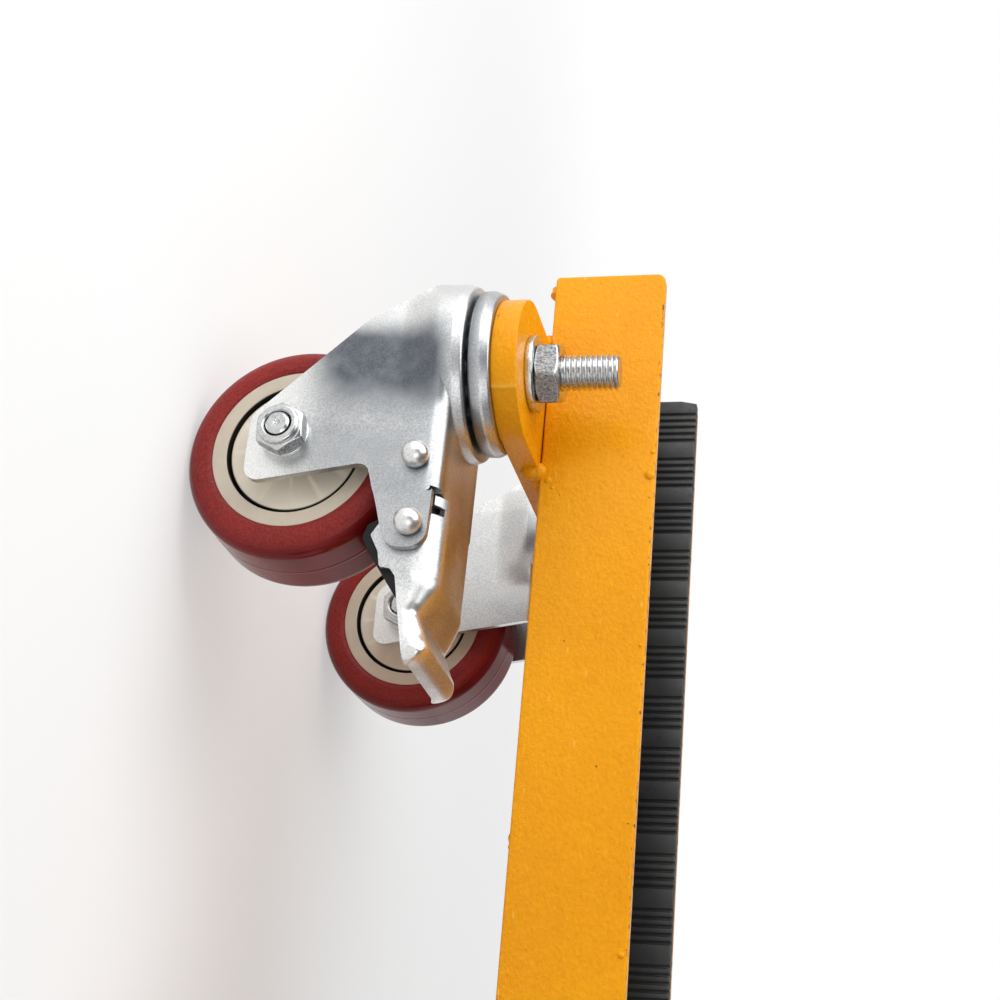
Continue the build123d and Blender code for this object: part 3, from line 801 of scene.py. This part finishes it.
def cut_flats(radius, height, across_flats, low, high):
    """1 on the flats of a nut and 0 on its chamfers.

    It is how far a point lies inside both chamfer cones, as a soft step.
    """
    cone = CHAMFER_SHARE * across_flats / 2 + np.minimum(height - low, high - height) / CHAMFER_SLOPE
    return smooth_step(cone - radius, 0.1, 0.6) * (radius > 0.49 * across_flats)


def washer(bore, radius, low, high, edge):
    """A flat ring with soft edges."""
    corners = [(bore, low, 0.1), (radius, low, edge), (radius, high, edge), (bore, high, 0.1)]
    return turned(rounded(corners, 5))


def caster_axes(name):
    """The caster's own axes as columns, and where its stem meets the deck.

    The axes point along its trail, across it and up.
    """
    stem = np.array(joints[f"{name}_swivel"]["pos_m"]) / MILLIMETRE
    axle = np.array(joints[f"{name}_roll"]["pos_m"]) / MILLIMETRE
    along = (axle - stem) * (1, 1, 0)
    along /= np.linalg.norm(along)
    across = np.array([-along[1], along[0], 0])
    return np.stack([along, across, (0, 0, 1)], axis=1), np.array([stem[0], stem[1], deck])


def at_caster(name, patch, turn=UPRIGHT, shift=(0, 0, 0)):
    """A patch turned and shifted on its caster's own axes, then put in its place on the cart."""
    return moved(moved(patch, turn, shift), *caster_axes(name))


def on_casters(patch):
    """The same patch on every caster's stem."""
    return [at_caster(name, patch) for name in casters]


def on_its_axes(name, made):
    """The points of a piece in three rows: along its caster's trail, across it and above the deck."""
    axes, stem = caster_axes(name)
    return ((points_of(made) - stem) @ axes).T


stem_radius, stem_top, stem_pitch = 6.0, span("stem_bolts")[1][2] - deck, 1.75
washer_top, nut_top, nut_flats = 2.5, 10.6, 19.0
foot = span("stem_bolts")[0][2] - deck
stem_foot = rounded(
    [(0, foot, 0), (10, foot, 1.5), (10, foot + 4, 0.2), (15, foot + 4, 1), (15, foot + 6.5, 0.5)]
    + [(6, foot + 6.5, 0.3), (6, 0, 0), (0, 0, 0)],
    5,
)
stems = on_casters(threaded(stem_radius, stem_pitch, -1.0, stem_top, 1.0)) + on_casters(turned(stem_foot))
piece("stem_threads", stems, "fastener_zinc", "frame", ["stem_bolts"])
stem_hex = hexagonal(nut_profile(stem_radius - 0.7, nut_flats, washer_top, nut_top), nut_flats, 30.0)
stem_nuts = piece("stem_hex_nuts", on_casters(stem_hex), "fastener_zinc", "frame", ["stem_nuts"])
places = points_of(stem_nuts)
away = np.min([np.hypot(*(places - caster_axes(name)[1]).T[:2]) for name in casters], axis=0)
mark(stem_nuts, "cut", cut_flats(away, places[:, 2] - deck, nut_flats, washer_top, nut_top))
stem_ring = washer(stem_radius + 0.3, 12.8, 0.0, washer_top, 0.5)
piece("stem_rings", on_casters(stem_ring), "fastener_zinc", "frame", ["stem_washers"])

# %% [markdown]
# ## Swivel bearing
# Balls run between a pressed race under the crossbar and the crown of the fork.
# Both are turned shapes with a round rim and a track for the balls, and their lips nearly meet,
# which hides the balls.

# %% Races
race_top, race_low, race_radius = -8.5, -14.9, 27.6
crown_top, crown_radius = -17.0, 30.0
ball_circle, ball_radius = 19.0, 3.06
ball_height = (race_low + crown_top) / 2


def ball_track(surface):
    """The arc that the balls' track cuts into a flat ring at this height, from its outer to its inner end."""
    rise = surface - ball_height
    end = np.arccos(abs(rise) / ball_radius)
    angle = np.linspace(end, -end, 9)
    height = ball_height + np.sign(rise) * ball_radius * np.cos(angle)
    return np.stack([ball_circle + ball_radius * np.sin(angle), height], -1)


race_bore = 6.3
race_rim = rounded(
    [(race_bore, race_top, 0), (race_radius - 1.2, race_top, 1.0), (race_radius, race_top - 2.9, 2.6)]
    + [(race_radius - 0.2, race_low - 0.55, 1.6), (23.6, race_low - 0.9, 0.5), (23.2, race_low, 0.2)],
    8,
    close=False,
)
race_loop = np.vstack([race_rim, ball_track(race_low), [(race_bore, race_low)]])
races = piece("swivel_races", on_casters(turned(race_loop, 144)), "fork_zinc", "frame", ["upper_races"])
# Painted shade: a dark reflection laid on the lower part of each race.
mark(races, "painted_shade", 0.55 * (1 - smooth_step(points_of(races)[:, 2] - deck, -13.6, -11.6)))

# %% [markdown]
# ## Fork
# A fork starts as a flat blank: two legs, a web between them and, with a brake, two arms that hold the pedal.
# The press bends the legs down and draws the round crown out of the web, and the legs flare out to meet it.
# The sheet is a grid whose rows run along the cart: from one foot up the leg, over the bend, across the web
# and down again.
# Each row starts on the leading edge and ends on the trailing edge, and faces inside the notch are left out.

# %% Fork sheet
leg_out, web_top, fork_bend, fork_gauge = 24.0, -20.3, 4.6, 2.5
foot_low, arm_low, arm_top = -85.3, -44.0, -22.2
lead_top, lead_out, flare_low = -24.4, 6.0, -38.0
notch_start, web_end = 52.2, 53.0
leading_edge = [(38, foot_low - 0.01, 0), (26.6, foot_low, 6.4), (-9.3, -48.8, 25)]
leading_edge += [(-22.0, lead_top, 2), (-20.6, -20.0, 0)]
brake_edge = [(38, foot_low - 0.01, 0), (50.5, -84.9, 4.8), (43.9, arm_low, 4.5), (73.0, -35.5, 6.4)]
brake_edge += [(73.2, arm_top, 6.4), (60.0, arm_top, 0)]
plain_edge = [(38, foot_low - 0.01, 0), (48.9, -85.2, 4.8), (37.2, web_top, 0)]
leg_rows, bend_rows, web_rows = 90, 8, 10
# Steps along a row: under the crown, on to the notch, over the notch's rim and along the arm.
spans = (26, 24, 2, 16)


def edge_at(edge, height):
    """How far along the cart an edge lies at each height."""
    line = rounded(edge, 14, close=False)
    return np.interp(height, line[:, 1], line[:, 0])


flare_lead, flare_end = 8.0, 24.0
flare_rise = (crown_radius**2 - flare_lead**2) ** 0.5 - leg_out
flare_slope = -flare_lead / (flare_rise + leg_out)


def fork_sheet(with_brake):
    """Half the rows climb the near leg: height is foot + rise * (1 - cos), close together at the round foot.

    Across, a point is at leg_out plus the flare: (circle of the crown - leg_out), faded out down the leg.
    Behind the crown the flare eases out as a cubic that starts with the circle's height and slope
    and ends flat.
    Over the bend it moves in by bend * (1 - cos a) and up by bend * sin a, and on the web to the middle.
    """
    bend_low = web_top - fork_bend
    climb = 1 - np.cos(np.linspace(0, np.pi / 2, leg_rows))
    leg_height = foot_low + (bend_low - foot_low) * climb
    bend_angle = np.linspace(0, np.pi / 2, bend_rows + 1)[1:]
    middle = np.linspace(1, 0, web_rows + 1)[1:]
    arm_height = bend_low + (arm_top - bend_low) * bend_angle / (np.pi / 2)
    edge_height = np.concatenate([leg_height, arm_height, np.full(web_rows, arm_top)])
    start = edge_at(leading_edge, np.minimum(edge_height, lead_top))
    start = start - lead_out * smooth_step(edge_height, flare_low, -23) ** 2
    end = edge_at(brake_edge if with_brake else plain_edge, edge_height)
    knots = start + (end - start) * np.array([0, 0.40, 0.80, 0.85, 1])[:, None]
    if with_brake:
        level = np.ones_like(start)
        straight = [start, 20 * level, notch_start * level, web_end * level, np.maximum(end, web_end + 3)]
        above_arm = np.clip((edge_height - arm_low) / 8, 0, 1)
        knots = knots + (straight - knots) * above_arm
    parts = [
        knots[n][:, None] + (knots[n + 1] - knots[n])[:, None] * np.linspace(0, 1, count, endpoint=False)
        for n, count in enumerate(spans)
    ]
    x = np.concatenate(parts + [knots[4][:, None]], axis=1)
    circle = np.sqrt(np.maximum(crown_radius**2 - x**2, 0)) - 0.03
    lead = np.clip((x - flare_lead) / (flare_end - flare_lead), 0, 1)
    ease = (1 - lead) ** 2 * ((1 + 2 * lead) * flare_rise + lead * (flare_end - flare_lead) * flare_slope)
    flare = np.where(x < flare_lead, circle - leg_out, ease)
    fade = smooth_step(leg_height, flare_low, bend_low)[:, None]
    y = leg_out + flare
    y[:leg_rows] = leg_out + flare[:leg_rows] * fade
    z = np.broadcast_to(edge_height[:, None], x.shape).copy()
    bend, web = slice(leg_rows, leg_rows + bend_rows), slice(leg_rows + bend_rows, None)
    y[bend] -= fork_bend * (1 - np.cos(bend_angle))[:, None]
    z[bend] = bend_low + fork_bend * np.sin(bend_angle)[:, None]
    y[web] = (y[web] - fork_bend) * middle[:, None]
    z[web] = web_top
    kept = np.ones((len(x) - 1, x.shape[1] - 1), bool)
    if with_brake:
        notch, arm = sum(spans[:2]), sum(spans[:3])
        y[bend, arm + 1 :] = leg_out
        z[bend, arm + 1 :] = arm_height[:, None]
        kept[leg_rows + 1 : leg_rows + bend_rows - 1, notch : arm + 1] = False
        kept[leg_rows + bend_rows - 1 :, arm:] = False
    near = np.stack([x, -y, z], -1)
    far = np.stack([x, y, z], -1)[::-1][1:]
    grid = np.concatenate([near, far])
    kept = np.concatenate([kept, kept[::-1]])
    faces = quads(*grid.shape[:2])[kept.ravel()][:, ::-1]
    used, faces = np.unique(faces, return_inverse=True)
    return grid.reshape(-1, 3)[used], faces.reshape(-1, 4).tolist()


crown_bore, crown_foot, inner_foot = 6.05, -25.2, (26.6, -22.8)
crown_rim = rounded(
    [(22.6, crown_top, 0), (23.4, crown_top + 0.55, 0.3), (crown_radius - 1.0, crown_top + 0.35, 1.2)]
    + [(crown_radius, crown_top - 3.0, 2.6), (crown_radius, crown_foot, 0.05)]
    + [(inner_foot[0], crown_foot, 0.05), (*inner_foot, 0.5), (20.5, inner_foot[1], 0)]
    + [(20.5, -20.0, 1), (crown_bore, -20.0, 0)],
    8,
    close=False,
)
crown_loop = np.vstack([[(crown_bore, crown_top)], ball_track(crown_top)[::-1], crown_rim])


def painted_dark_reflection(place, strength):
    """How strong the painted dark reflection is: a bell across x about a slanting line, faded out along z at both
    ends.

    The bell is exp(-(distance / width)^2), and its width is larger on the trailing side.
    """
    x, y, z = place
    away = x - 4.0 - 0.17 * (z + 45)
    bell = np.exp(-(np.abs(away / np.where(away > 0, 19.0, 9.0)) ** 2))
    along = smooth_step(z, -76, -56) * (1 - smooth_step(z, -28, -19))
    return np.minimum(strength * bell * along * smooth_step(np.abs(y), 17, 22), 1)


for name in casters:
    caster, fork_node = f"{name}_caster", [f"{name}_fork"]
    # Painted light: a dark reflection on braked legs and crowns, darker towards the trailing side, and a paler
    # foot, leading side near the crown and web. Plain forks are painted paler all over.
    painted_dark_strength, least_painted_light = (1.35, 0.0) if name in braked else (0.1, 0.45)
    patch = at_caster(name, fork_sheet(name in braked))
    fork = piece(f"{name}_fork_sheet", [patch], "fork_zinc", caster, fork_node, sheet=fork_gauge, rim=0.45)
    x, y, z = place = on_its_axes(name, fork)
    mark(fork, "painted_shade", np.maximum(painted_dark_reflection(place, painted_dark_strength), 0.2 * painted_dark_strength * smooth_step(x, 18, 34)))
    painted_lightening = 0.95 * smooth_step(-z, 58, 78) + 0.7 * smooth_step(-x, 1, 10)
    painted_lightening += 0.5 * (1 - smooth_step(np.abs(y), 14, 20))
    mark(fork, "painted_light", np.clip(painted_lightening, least_painted_light, 1))
    patch = at_caster(name, turned(crown_loop, 144))
    crown = piece(f"{name}_fork_crown", [patch], "fork_zinc", caster, fork_node)
    place = on_its_axes(name, crown)
    mark(crown, "painted_shade", painted_dark_reflection(place, painted_dark_strength))
    mark(crown, "painted_light", 0.7 * smooth_step(-place[0], 1, 10))

# %% [markdown]
# ## Wheel
# A polyurethane tyre is cast on a moulded core, and dust covers close the bearings on both sides.
# Each is a profile turned round the axle. The cover's face is stepped like a fan, so its height also depends
# on the angle.

# %% Tyre, core and dust covers
axle_trail, axle_drop = 34.2, 72.6
axle_place = (axle_trail, 0, -axle_drop)
tread, half_width, core_rim, core_half = 37.5, 16.0, 27.8, 15.4


def mirrored(profile):
    """A half profile, from its inner end out, joined to its mirror image on the other side of the wheel."""
    profile = np.asarray(profile, float)
    return np.vstack([profile, profile[::-1] * (1, -1)])


def ridge(place, middle, width, height):
    """A fine raised line: height / (1 + ((place - middle) / width) ** 4)."""
    return height / (1 + ((place - middle) / width) ** 4)


shoulder_radius, line_height = 6.2, 0.09
shoulder_line, shoulder_line_width, middle_line_width = 14.4, 0.16, 0.3
curve = np.linspace(np.pi / 2, 0, 60)
outwards = np.stack([np.cos(curve), np.sin(curve)], -1)
bend_over = (tread - line_height, half_width) - shoulder_radius * (1 - outwards)
bend_over += ridge(bend_over[:, 1], shoulder_line, shoulder_line_width, line_height)[:, None] * outwards
flat_across = np.linspace(half_width - shoulder_radius, 0.0, 60)[1:]
middle_line = ridge(flat_across, 0.0, middle_line_width, line_height)
flat_tread = np.stack([tread - line_height + middle_line, flat_across], -1)
side_wall = rounded(
    [(core_rim, core_half - 0.1, 0), (core_rim + 0.5, core_half + 0.25, 0.3)]
    + [(29.6, half_width, 3), (31.0, half_width, 0)],
    6,
    close=False,
)
tyre_half = np.vstack([side_wall, bend_over, flat_tread])
tyre_loop = np.vstack([mirrored(tyre_half), [(core_rim, -core_half + 0.1)]])

lip, seat, stop_face, groove_floor = 22.9, 12.6, 4.6, 6.0
core_half_loop = rounded(
    [(12.0, 0, 0), (12.0, stop_face, 0), (14.0, stop_face, 0), (14.0, seat, 0), (21.0, seat, 0)]
    + [(21.0, groove_floor, 0), (lip, groove_floor, 0), (lip, core_half, 0.35)]
    + [(core_rim, core_half, 0.2), (core_rim, 0, 0)],
    5,
    close=False,
)
core_loop = mirrored(core_half_loop)

fan_blades, cover_rim, cover_bore = 12, 21.8, 6.6


def dust_cover(side):
    """A dished disc whose face rises from its rim to its hub, with a fan of shallow blades.

    A blade climbs over most of its share of the turn and drops back over the rest,
    fading out at the rim and the hub.
    """
    segments = fan_blades * 18
    angle = np.arange(segments) * 2 * np.pi / segments
    slope = np.linspace(cover_bore + 0.4, cover_rim - 0.5, 16)
    radius = np.concatenate([[cover_bore], slope, [cover_rim - 0.15, cover_rim]])
    share = (angle * fan_blades / (2 * np.pi)) % 1
    blade = np.where(share < 0.82, share / 0.82, (1 - share) / 0.18)
    dish = np.interp(radius, [cover_bore, 9.0, cover_rim - 0.6, cover_rim], [14.95, 15.2, 14.35, 14.0])
    fade = smooth_step(radius, 8.0, 10.5) * (1 - smooth_step(radius, 20.0, 21.4))
    height = dish[:, None] + 0.55 * fade[:, None] * (blade[None] - 0.5)
    face = np.stack([radius[:, None] * np.cos(angle), radius[:, None] * np.sin(angle), side * height], -1)
    back = face[[-1, 0]] * (1, 1, 0) + (0, 0, side * (seat + 0.02))
    return rings(np.concatenate([face, back]), close=True)


for name in casters:
    wheel = f"{name}_wheel"
    patch = at_caster(name, turned(tyre_loop, 180), ACROSS, axle_place)
    tyre = piece(f"{name}_cast_tyre", [patch], "tyre_red", wheel, [f"{name}_tyre"])
    mark(tyre, "side", smooth_step(np.abs(on_its_axes(name, tyre)[1]), 13.0, 15.6))
    patch = at_caster(name, turned(core_loop, 144), ACROSS, axle_place)
    core = piece(f"{name}_hub_core", [patch], "hub_plastic", wheel, [f"{name}_wheel_core"])
    x, y, z = on_its_axes(name, core)
    # Painted shade in the groove inside the lip.
    inside_lip = np.hypot(x - axle_trail, z + axle_drop) < lip + 0.1
    mark(core, "painted_recess_shade", 1.0 * (inside_lip & (np.abs(y) < core_half - 0.3)))
    patches = [at_caster(name, dust_cover(side), ACROSS, axle_place) for side in (-1, 1)]
    covers = piece(f"{name}_fan_covers", patches, "hub_plastic", wheel, [f"{name}_dust_covers"])
    # Painted shade on the covers' rims, and painted light over the whole covers.
    out = np.abs(on_its_axes(name, covers)[1])
    mark(covers, "painted_recess_shade", 1.0 * (out < 14.1))
    mark(covers, "painted_light", 0 * out + 0.75)

# %% [markdown]
# ## Axle and rivets
# A bolt with a lock nut holds the wheel, and two rivets with round heads hold the brake in the fork.
# The lock nut has a collar that curls in over its plastic ring, and the bolt's end stands in it.
# The rivets are headed from the same plated steel as the fork, with painted contact shade round the foot of the
# head and a painted highlight on top.

# %% Axle bolt, lock nut, washers and rivets
washer_face, axle_hex, lock_hex_end, lock_end, bolt_end = 25.6, 15.0, 31.1, 33.1, 33.4
lock_hex = hexagonal(nut_profile(4.05, axle_hex, washer_face, lock_hex_end), axle_hex, 33.0)
lock_foot = lock_hex_end - 0.6
lock_collar = rounded(
    [(4.2, lock_foot, 0), (6.85, lock_foot, 0), (6.9, lock_end, 1.1), (4.9, lock_end, 0.35)]
    + [(4.35, lock_end - 0.7, 0.3)],
    8,
)
bolt_head = nut_profile(0.5, axle_hex, washer_face, washer_face + 5.3, (False, True))
bolt_head = hexagonal(bolt_head, axle_hex, 5.0)
shank_end, face_low, face_high = washer_face + 0.5, washer_face + 4.0, washer_face + 5.1
bolt_shank = rounded([(0, -20, 0), (3.95, -20, 0), (3.95, shank_end, 0), (0, shank_end, 0)], 3)
head_face = [(0, face_low), (2.0, face_low), (2.0, face_high), (0, face_high)]
bolt_tip = rounded(
    [(0, bolt_end - 2.0, 0), (3.95, bolt_end - 2.0, 0), (3.95, bolt_end - 0.7, 0.3), (3.2, bolt_end, 0.6)]
    + [(1.1, bolt_end - 0.05, 0.3), (0.5, bolt_end - 0.75, 0.2), (0, bolt_end - 0.8, 0)],
    6,
)
axle_ring = washer(4.2, 8.0, 24.0, washer_face, 0.4)
pin_places = {"pedal_pin": (65.4, -28.1, 3.0), "spring_pin": (42.5, -28.3, 2.4)}
head_radius, head_lift, head_foot, pin_half = 4.4, 2.4, 3.7, 23.5
dome_angle = np.linspace(-np.arcsin(head_lift / head_radius), np.pi / 2, 22)
dome_height = leg_out + head_lift + head_radius * np.sin(dome_angle)
dome = np.stack([head_radius * np.cos(dome_angle), dome_height], -1)
dome_loop = np.vstack([[(0, leg_out - 1), (head_foot, leg_out - 1)], dome])
for name in casters:
    caster = f"{name}_caster"
    nut = [at_caster(name, patch, ON_EDGE, axle_place) for patch in (lock_hex, turned(lock_collar))]
    lock_nut = piece(f"{name}_lock_nut", nut, "fastener_zinc", caster, [f"{name}_axle_nut"])
    x, y, z = on_its_axes(name, lock_nut)
    away = np.hypot(x - axle_trail, z + axle_drop)
    mark(lock_nut, "cut", cut_flats(away, np.abs(y), axle_hex, washer_face, lock_hex_end))
    patches = (bolt_head, turned(bolt_shank, 48), turned(head_face, 48))
    bolt = [at_caster(name, patch, ACROSS, axle_place) for patch in patches]
    bolt += [at_caster(name, turned(bolt_tip, 64), ON_EDGE, axle_place)]
    piece(f"{name}_wheel_bolt", bolt, "fastener_zinc", caster, [f"{name}_axle_bolt"])
    washers = [at_caster(name, axle_ring, turn, axle_place) for turn in (ACROSS, ON_EDGE)]
    piece(f"{name}_bolt_rings", washers, "fastener_zinc", caster, [f"{name}_axle_washers"])
    if name in braked:
        pins = []
        for x, height, radius in pin_places.values():
            place, head = (x, 0, height), turned(dome_loop, 48)
            pins += [at_caster(name, head, turn, place) for turn in (ACROSS, ON_EDGE)]
            rod = turned([(0, -pin_half), (radius, -pin_half), (radius, pin_half), (0, pin_half)], 32)
            pins.append(at_caster(name, rod, ACROSS, place))
        rivets = piece(f"{name}_rivets", pins, "fork_zinc", caster, [f"{name}_brake_pins"])
        # Painted shade round the foot of each head and painted light on its dome.
        out = np.abs(on_its_axes(name, rivets)[1])
        mark(rivets, "painted_shade", 1 - smooth_step(out, leg_out + 0.3, leg_out + 1.6))
        mark(rivets, "painted_light", 0.8 * smooth_step(out, leg_out + 0.6, leg_out + 2.4))

# %% [markdown]
# ## Brake
# The pedal is one pressing: a web with broad bends and two flanges, a valley across it and a lip that the
# foot pushes.
# It is a sheet whose section is carried along the cart: at each place the top line and the lower edge of the
# flange give how deep the section is, and the bend runs only as far round as that depth allows.

# %% Pedal and rubber stop
pedal_gauge = 2.0
pedal_start, pedal_end = 53.6, 108.8
top_line = [(pedal_start, -18.8, 0), (83.2, -18.8, 8.5), (92.6, -24.0, 2.5), (103.2, -19.2, 3.0)]
top_line += [(107.0, -21.9, 6.0), (pedal_end, -25.4, 0)]
flange_line = [(pedal_start, -22.2, 0), (56.8, -22.2, 0), (57.0, -19.6, 0), (59.6, -19.6, 0.5)]
flange_line += [(60.4, -36.6, 1.5), (67.8, -41.0, 1.2), (73.3, -38.0, 3), (78.4, -37.0, 1)]
flange_line += [(79.0, -33.5, 1), (81.5, -31.6, 1), (93.0, -29.4, 3), (104.2, -27.2, 4)]
flange_line += [(pedal_end, -26.4, 0)]
bend_along = [(pedal_start, 9.0), (80.0, 9.0), (90.0, 4.6), (94.5, 4.6), (99.5, 6.5)]
bend_along += [(103.5, 5.0), (105.5, 1.6), (pedal_end, 1.2)]
pedal_half, lip_start, lip_length, lip_corner = 21.2, 103.8, 5.0, 4.5


def pedal_sheet():
    """Across a row: flat, then bend * sin a out and bend * (1 - cos a) down, then straight down.

    The arc ends at a quarter turn, or where bend * (1 - cos a) reaches the flange's depth.
    The bend is broad over the hinge, tighter in the valley and gone at the lip,
    whose corners are rounded off by a quarter ellipse.
    """
    along = np.linspace(pedal_start, pedal_end, 190)
    top = rounded(top_line, 14, close=False)
    low = rounded(flange_line, 10, close=False)
    bend_line = rounded([(*at, 2.0) for at in bend_along], 8, close=False)
    pedal_bend = np.interp(along, bend_line[:, 0], bend_line[:, 1])[:, None]
    over_lip = ((along - lip_start) / lip_length).clip(0, 1)
    pedal_out = pedal_half - lip_corner * (1 - np.sqrt(np.clip(1 - over_lip**2, 0, 1)))[:, None]
    top_at = np.interp(along, top[:, 0], top[:, 1])
    depth = top_at - np.interp(along, low[:, 0], low[:, 1])
    last = np.arccos(np.clip(1 - depth / pedal_bend[:, 0], 0, 1))
    flat = np.linspace(0, 1, 9, endpoint=False)
    arc = np.linspace(0, 1, 12)
    down = np.linspace(0, 1, 10)[1:]
    angle = last[:, None] * arc
    straight = np.maximum(depth[:, None] - pedal_bend, 0) * down
    inner = pedal_out - pedal_bend
    y = np.concatenate([inner * flat, inner + pedal_bend * np.sin(angle)], 1)
    y = np.concatenate([y, np.repeat(y[:, -1:], len(down), 1)], 1)
    fall = np.concatenate([np.zeros((len(along), len(flat))), pedal_bend * (1 - np.cos(angle))], 1)
    fall = np.concatenate([fall, fall[:, -1:] + straight], 1)
    x = np.broadcast_to(along[:, None], y.shape)
    z = top_at[:, None] - fall
    half = np.stack([x, y, z], -1)
    grid = np.concatenate([half[:, :0:-1] * (1, -1, 1), half], 1)
    return grid.reshape(-1, 3), quads(*grid.shape[:2]).tolist()


stop_outline = rounded(
    [(63.2, -43.0, 1.5), (67.6, -44.4, 1.2), (72.0, -42.2, 1.5), (78.5, -37.6, 0.3), (87.0, -31.8, 0.6)]
    + [(86.0, -30.6, 0.3), (71.8, -34.2, 0.3), (58.5, -34.9, 0.3)],
    6,
)
stop_half = 19.1
for name in braked:
    brake, node = f"{name}_brake", [f"{name}_brake_pedal"]
    patch = at_caster(name, pedal_sheet())
    pedal = piece(f"{name}_pedal_sheet", [patch], "fork_zinc", brake, node, sheet=pedal_gauge, rim=0.35)
    x, y, _ = on_its_axes(name, pedal)
    # Painted light: the bends towards the lip are made paler.
    mark(pedal, "painted_light", 0.8 * smooth_step(x, 80, 90) * smooth_step(np.abs(y), 10, 19))
    patch = at_caster(name, plate(stop_outline, -stop_half, stop_half, 0.4), ON_EDGE)
    piece(f"{name}_rubber_stop", [patch], "brake_rubber", brake, [f"{name}_brake_pad"])

# %% [markdown]
# ## Studio
# Soft light comes from a panel beside one end, a large one overhead and a third opposite, over a pale floor.
# The studio's walls are white and its ceiling is dim, so bright metal shows both.
# Near the cart the floor is a matt white that keeps the shadow, and further out it fades into the white
# of the sky.
# The sky is white for rays from the camera, for reflections and for see-through rays, and dimmer
# for the light that it sheds.

# %% Floor, lights and sky
reach = 6.0
corners = [(-reach, -reach, 0), (reach, -reach, 0), (reach, reach, 0), (-reach, reach, 0)]
floor_mesh = bpy.data.meshes.new("studio_floor")
floor_mesh.from_pydata(corners, [], [(0, 1, 2, 3)])
studio_floor = bpy.data.objects.new("studio_floor", floor_mesh)
bpy.context.scene.collection.objects.link(studio_floor)

pale_floor = bpy.data.materials.new("pale_floor")
pale_floor.use_nodes = True
floor = Nodes(pale_floor.node_tree)
floor.tree.nodes.clear()
matt = floor.node("BsdfDiffuse", Color=(0.9, 0.9, 0.9, 1)).outputs[0]
lit = floor.node("Emission").outputs[0]
away = floor.node("VectorMath", Vector=floor.node("TexCoord").outputs["Object"])
away.operation = "LENGTH"
shadow_end, white_start, least_white = 0.30, 0.90, 0.48
fade = floor.levels(away.outputs["Value"], shadow_end, white_start, least_white, 1.0, "SMOOTHSTEP")
blend = floor.node("MixShader", floor.math("MULTIPLY", floor.seen(), fade), matt, lit)
floor.node("OutputMaterial", Surface=blend.outputs[0])
floor_mesh.materials.append(pale_floor)

world = bpy.data.worlds.new("studio")
bpy.context.scene.world = world
world.use_nodes = True
sky = Nodes(world.node_tree)
height = sky.node("SeparateXYZ", Vector=sky.node("TexCoord").outputs["Generated"]).outputs["Z"]
wall_end, ceiling_start, ceiling_light, shed_light = 0.15, 0.55, 0.15, 0.34
ceiling = sky.levels(height, wall_end, ceiling_start, 1.0, ceiling_light, "SMOOTHSTEP")
background = sky.tree.nodes["Background"]
sky.set(background.inputs["Color"], (1, 1, 1, 1))
sky.set(background.inputs["Strength"], sky.levels(sky.seen(), 0, 1, shed_light, ceiling))


def panel(name, place, power, size):
    """A square soft light that faces the cart's deck."""
    light = bpy.data.lights.new(name, "AREA")
    light.energy = power
    light.size = size
    lamp = bpy.data.objects.new(name, light)
    lamp.location = place
    aim = Vector((0, 0, deck * MILLIMETRE)) - Vector(place)
    lamp.rotation_euler = aim.to_track_quat("-Z", "Y").to_euler()
    bpy.context.scene.collection.objects.link(lamp)


panel("key_panel", (-0.55, -0.45, 0.26), 2.5, 0.6)
panel("top_panel", (-0.53, -0.29, 0.93), 6.8, 0.9)
panel("fill_panel", (0.9, -1.2, 0.9), 4.7, 1.0)
print("studio ready")
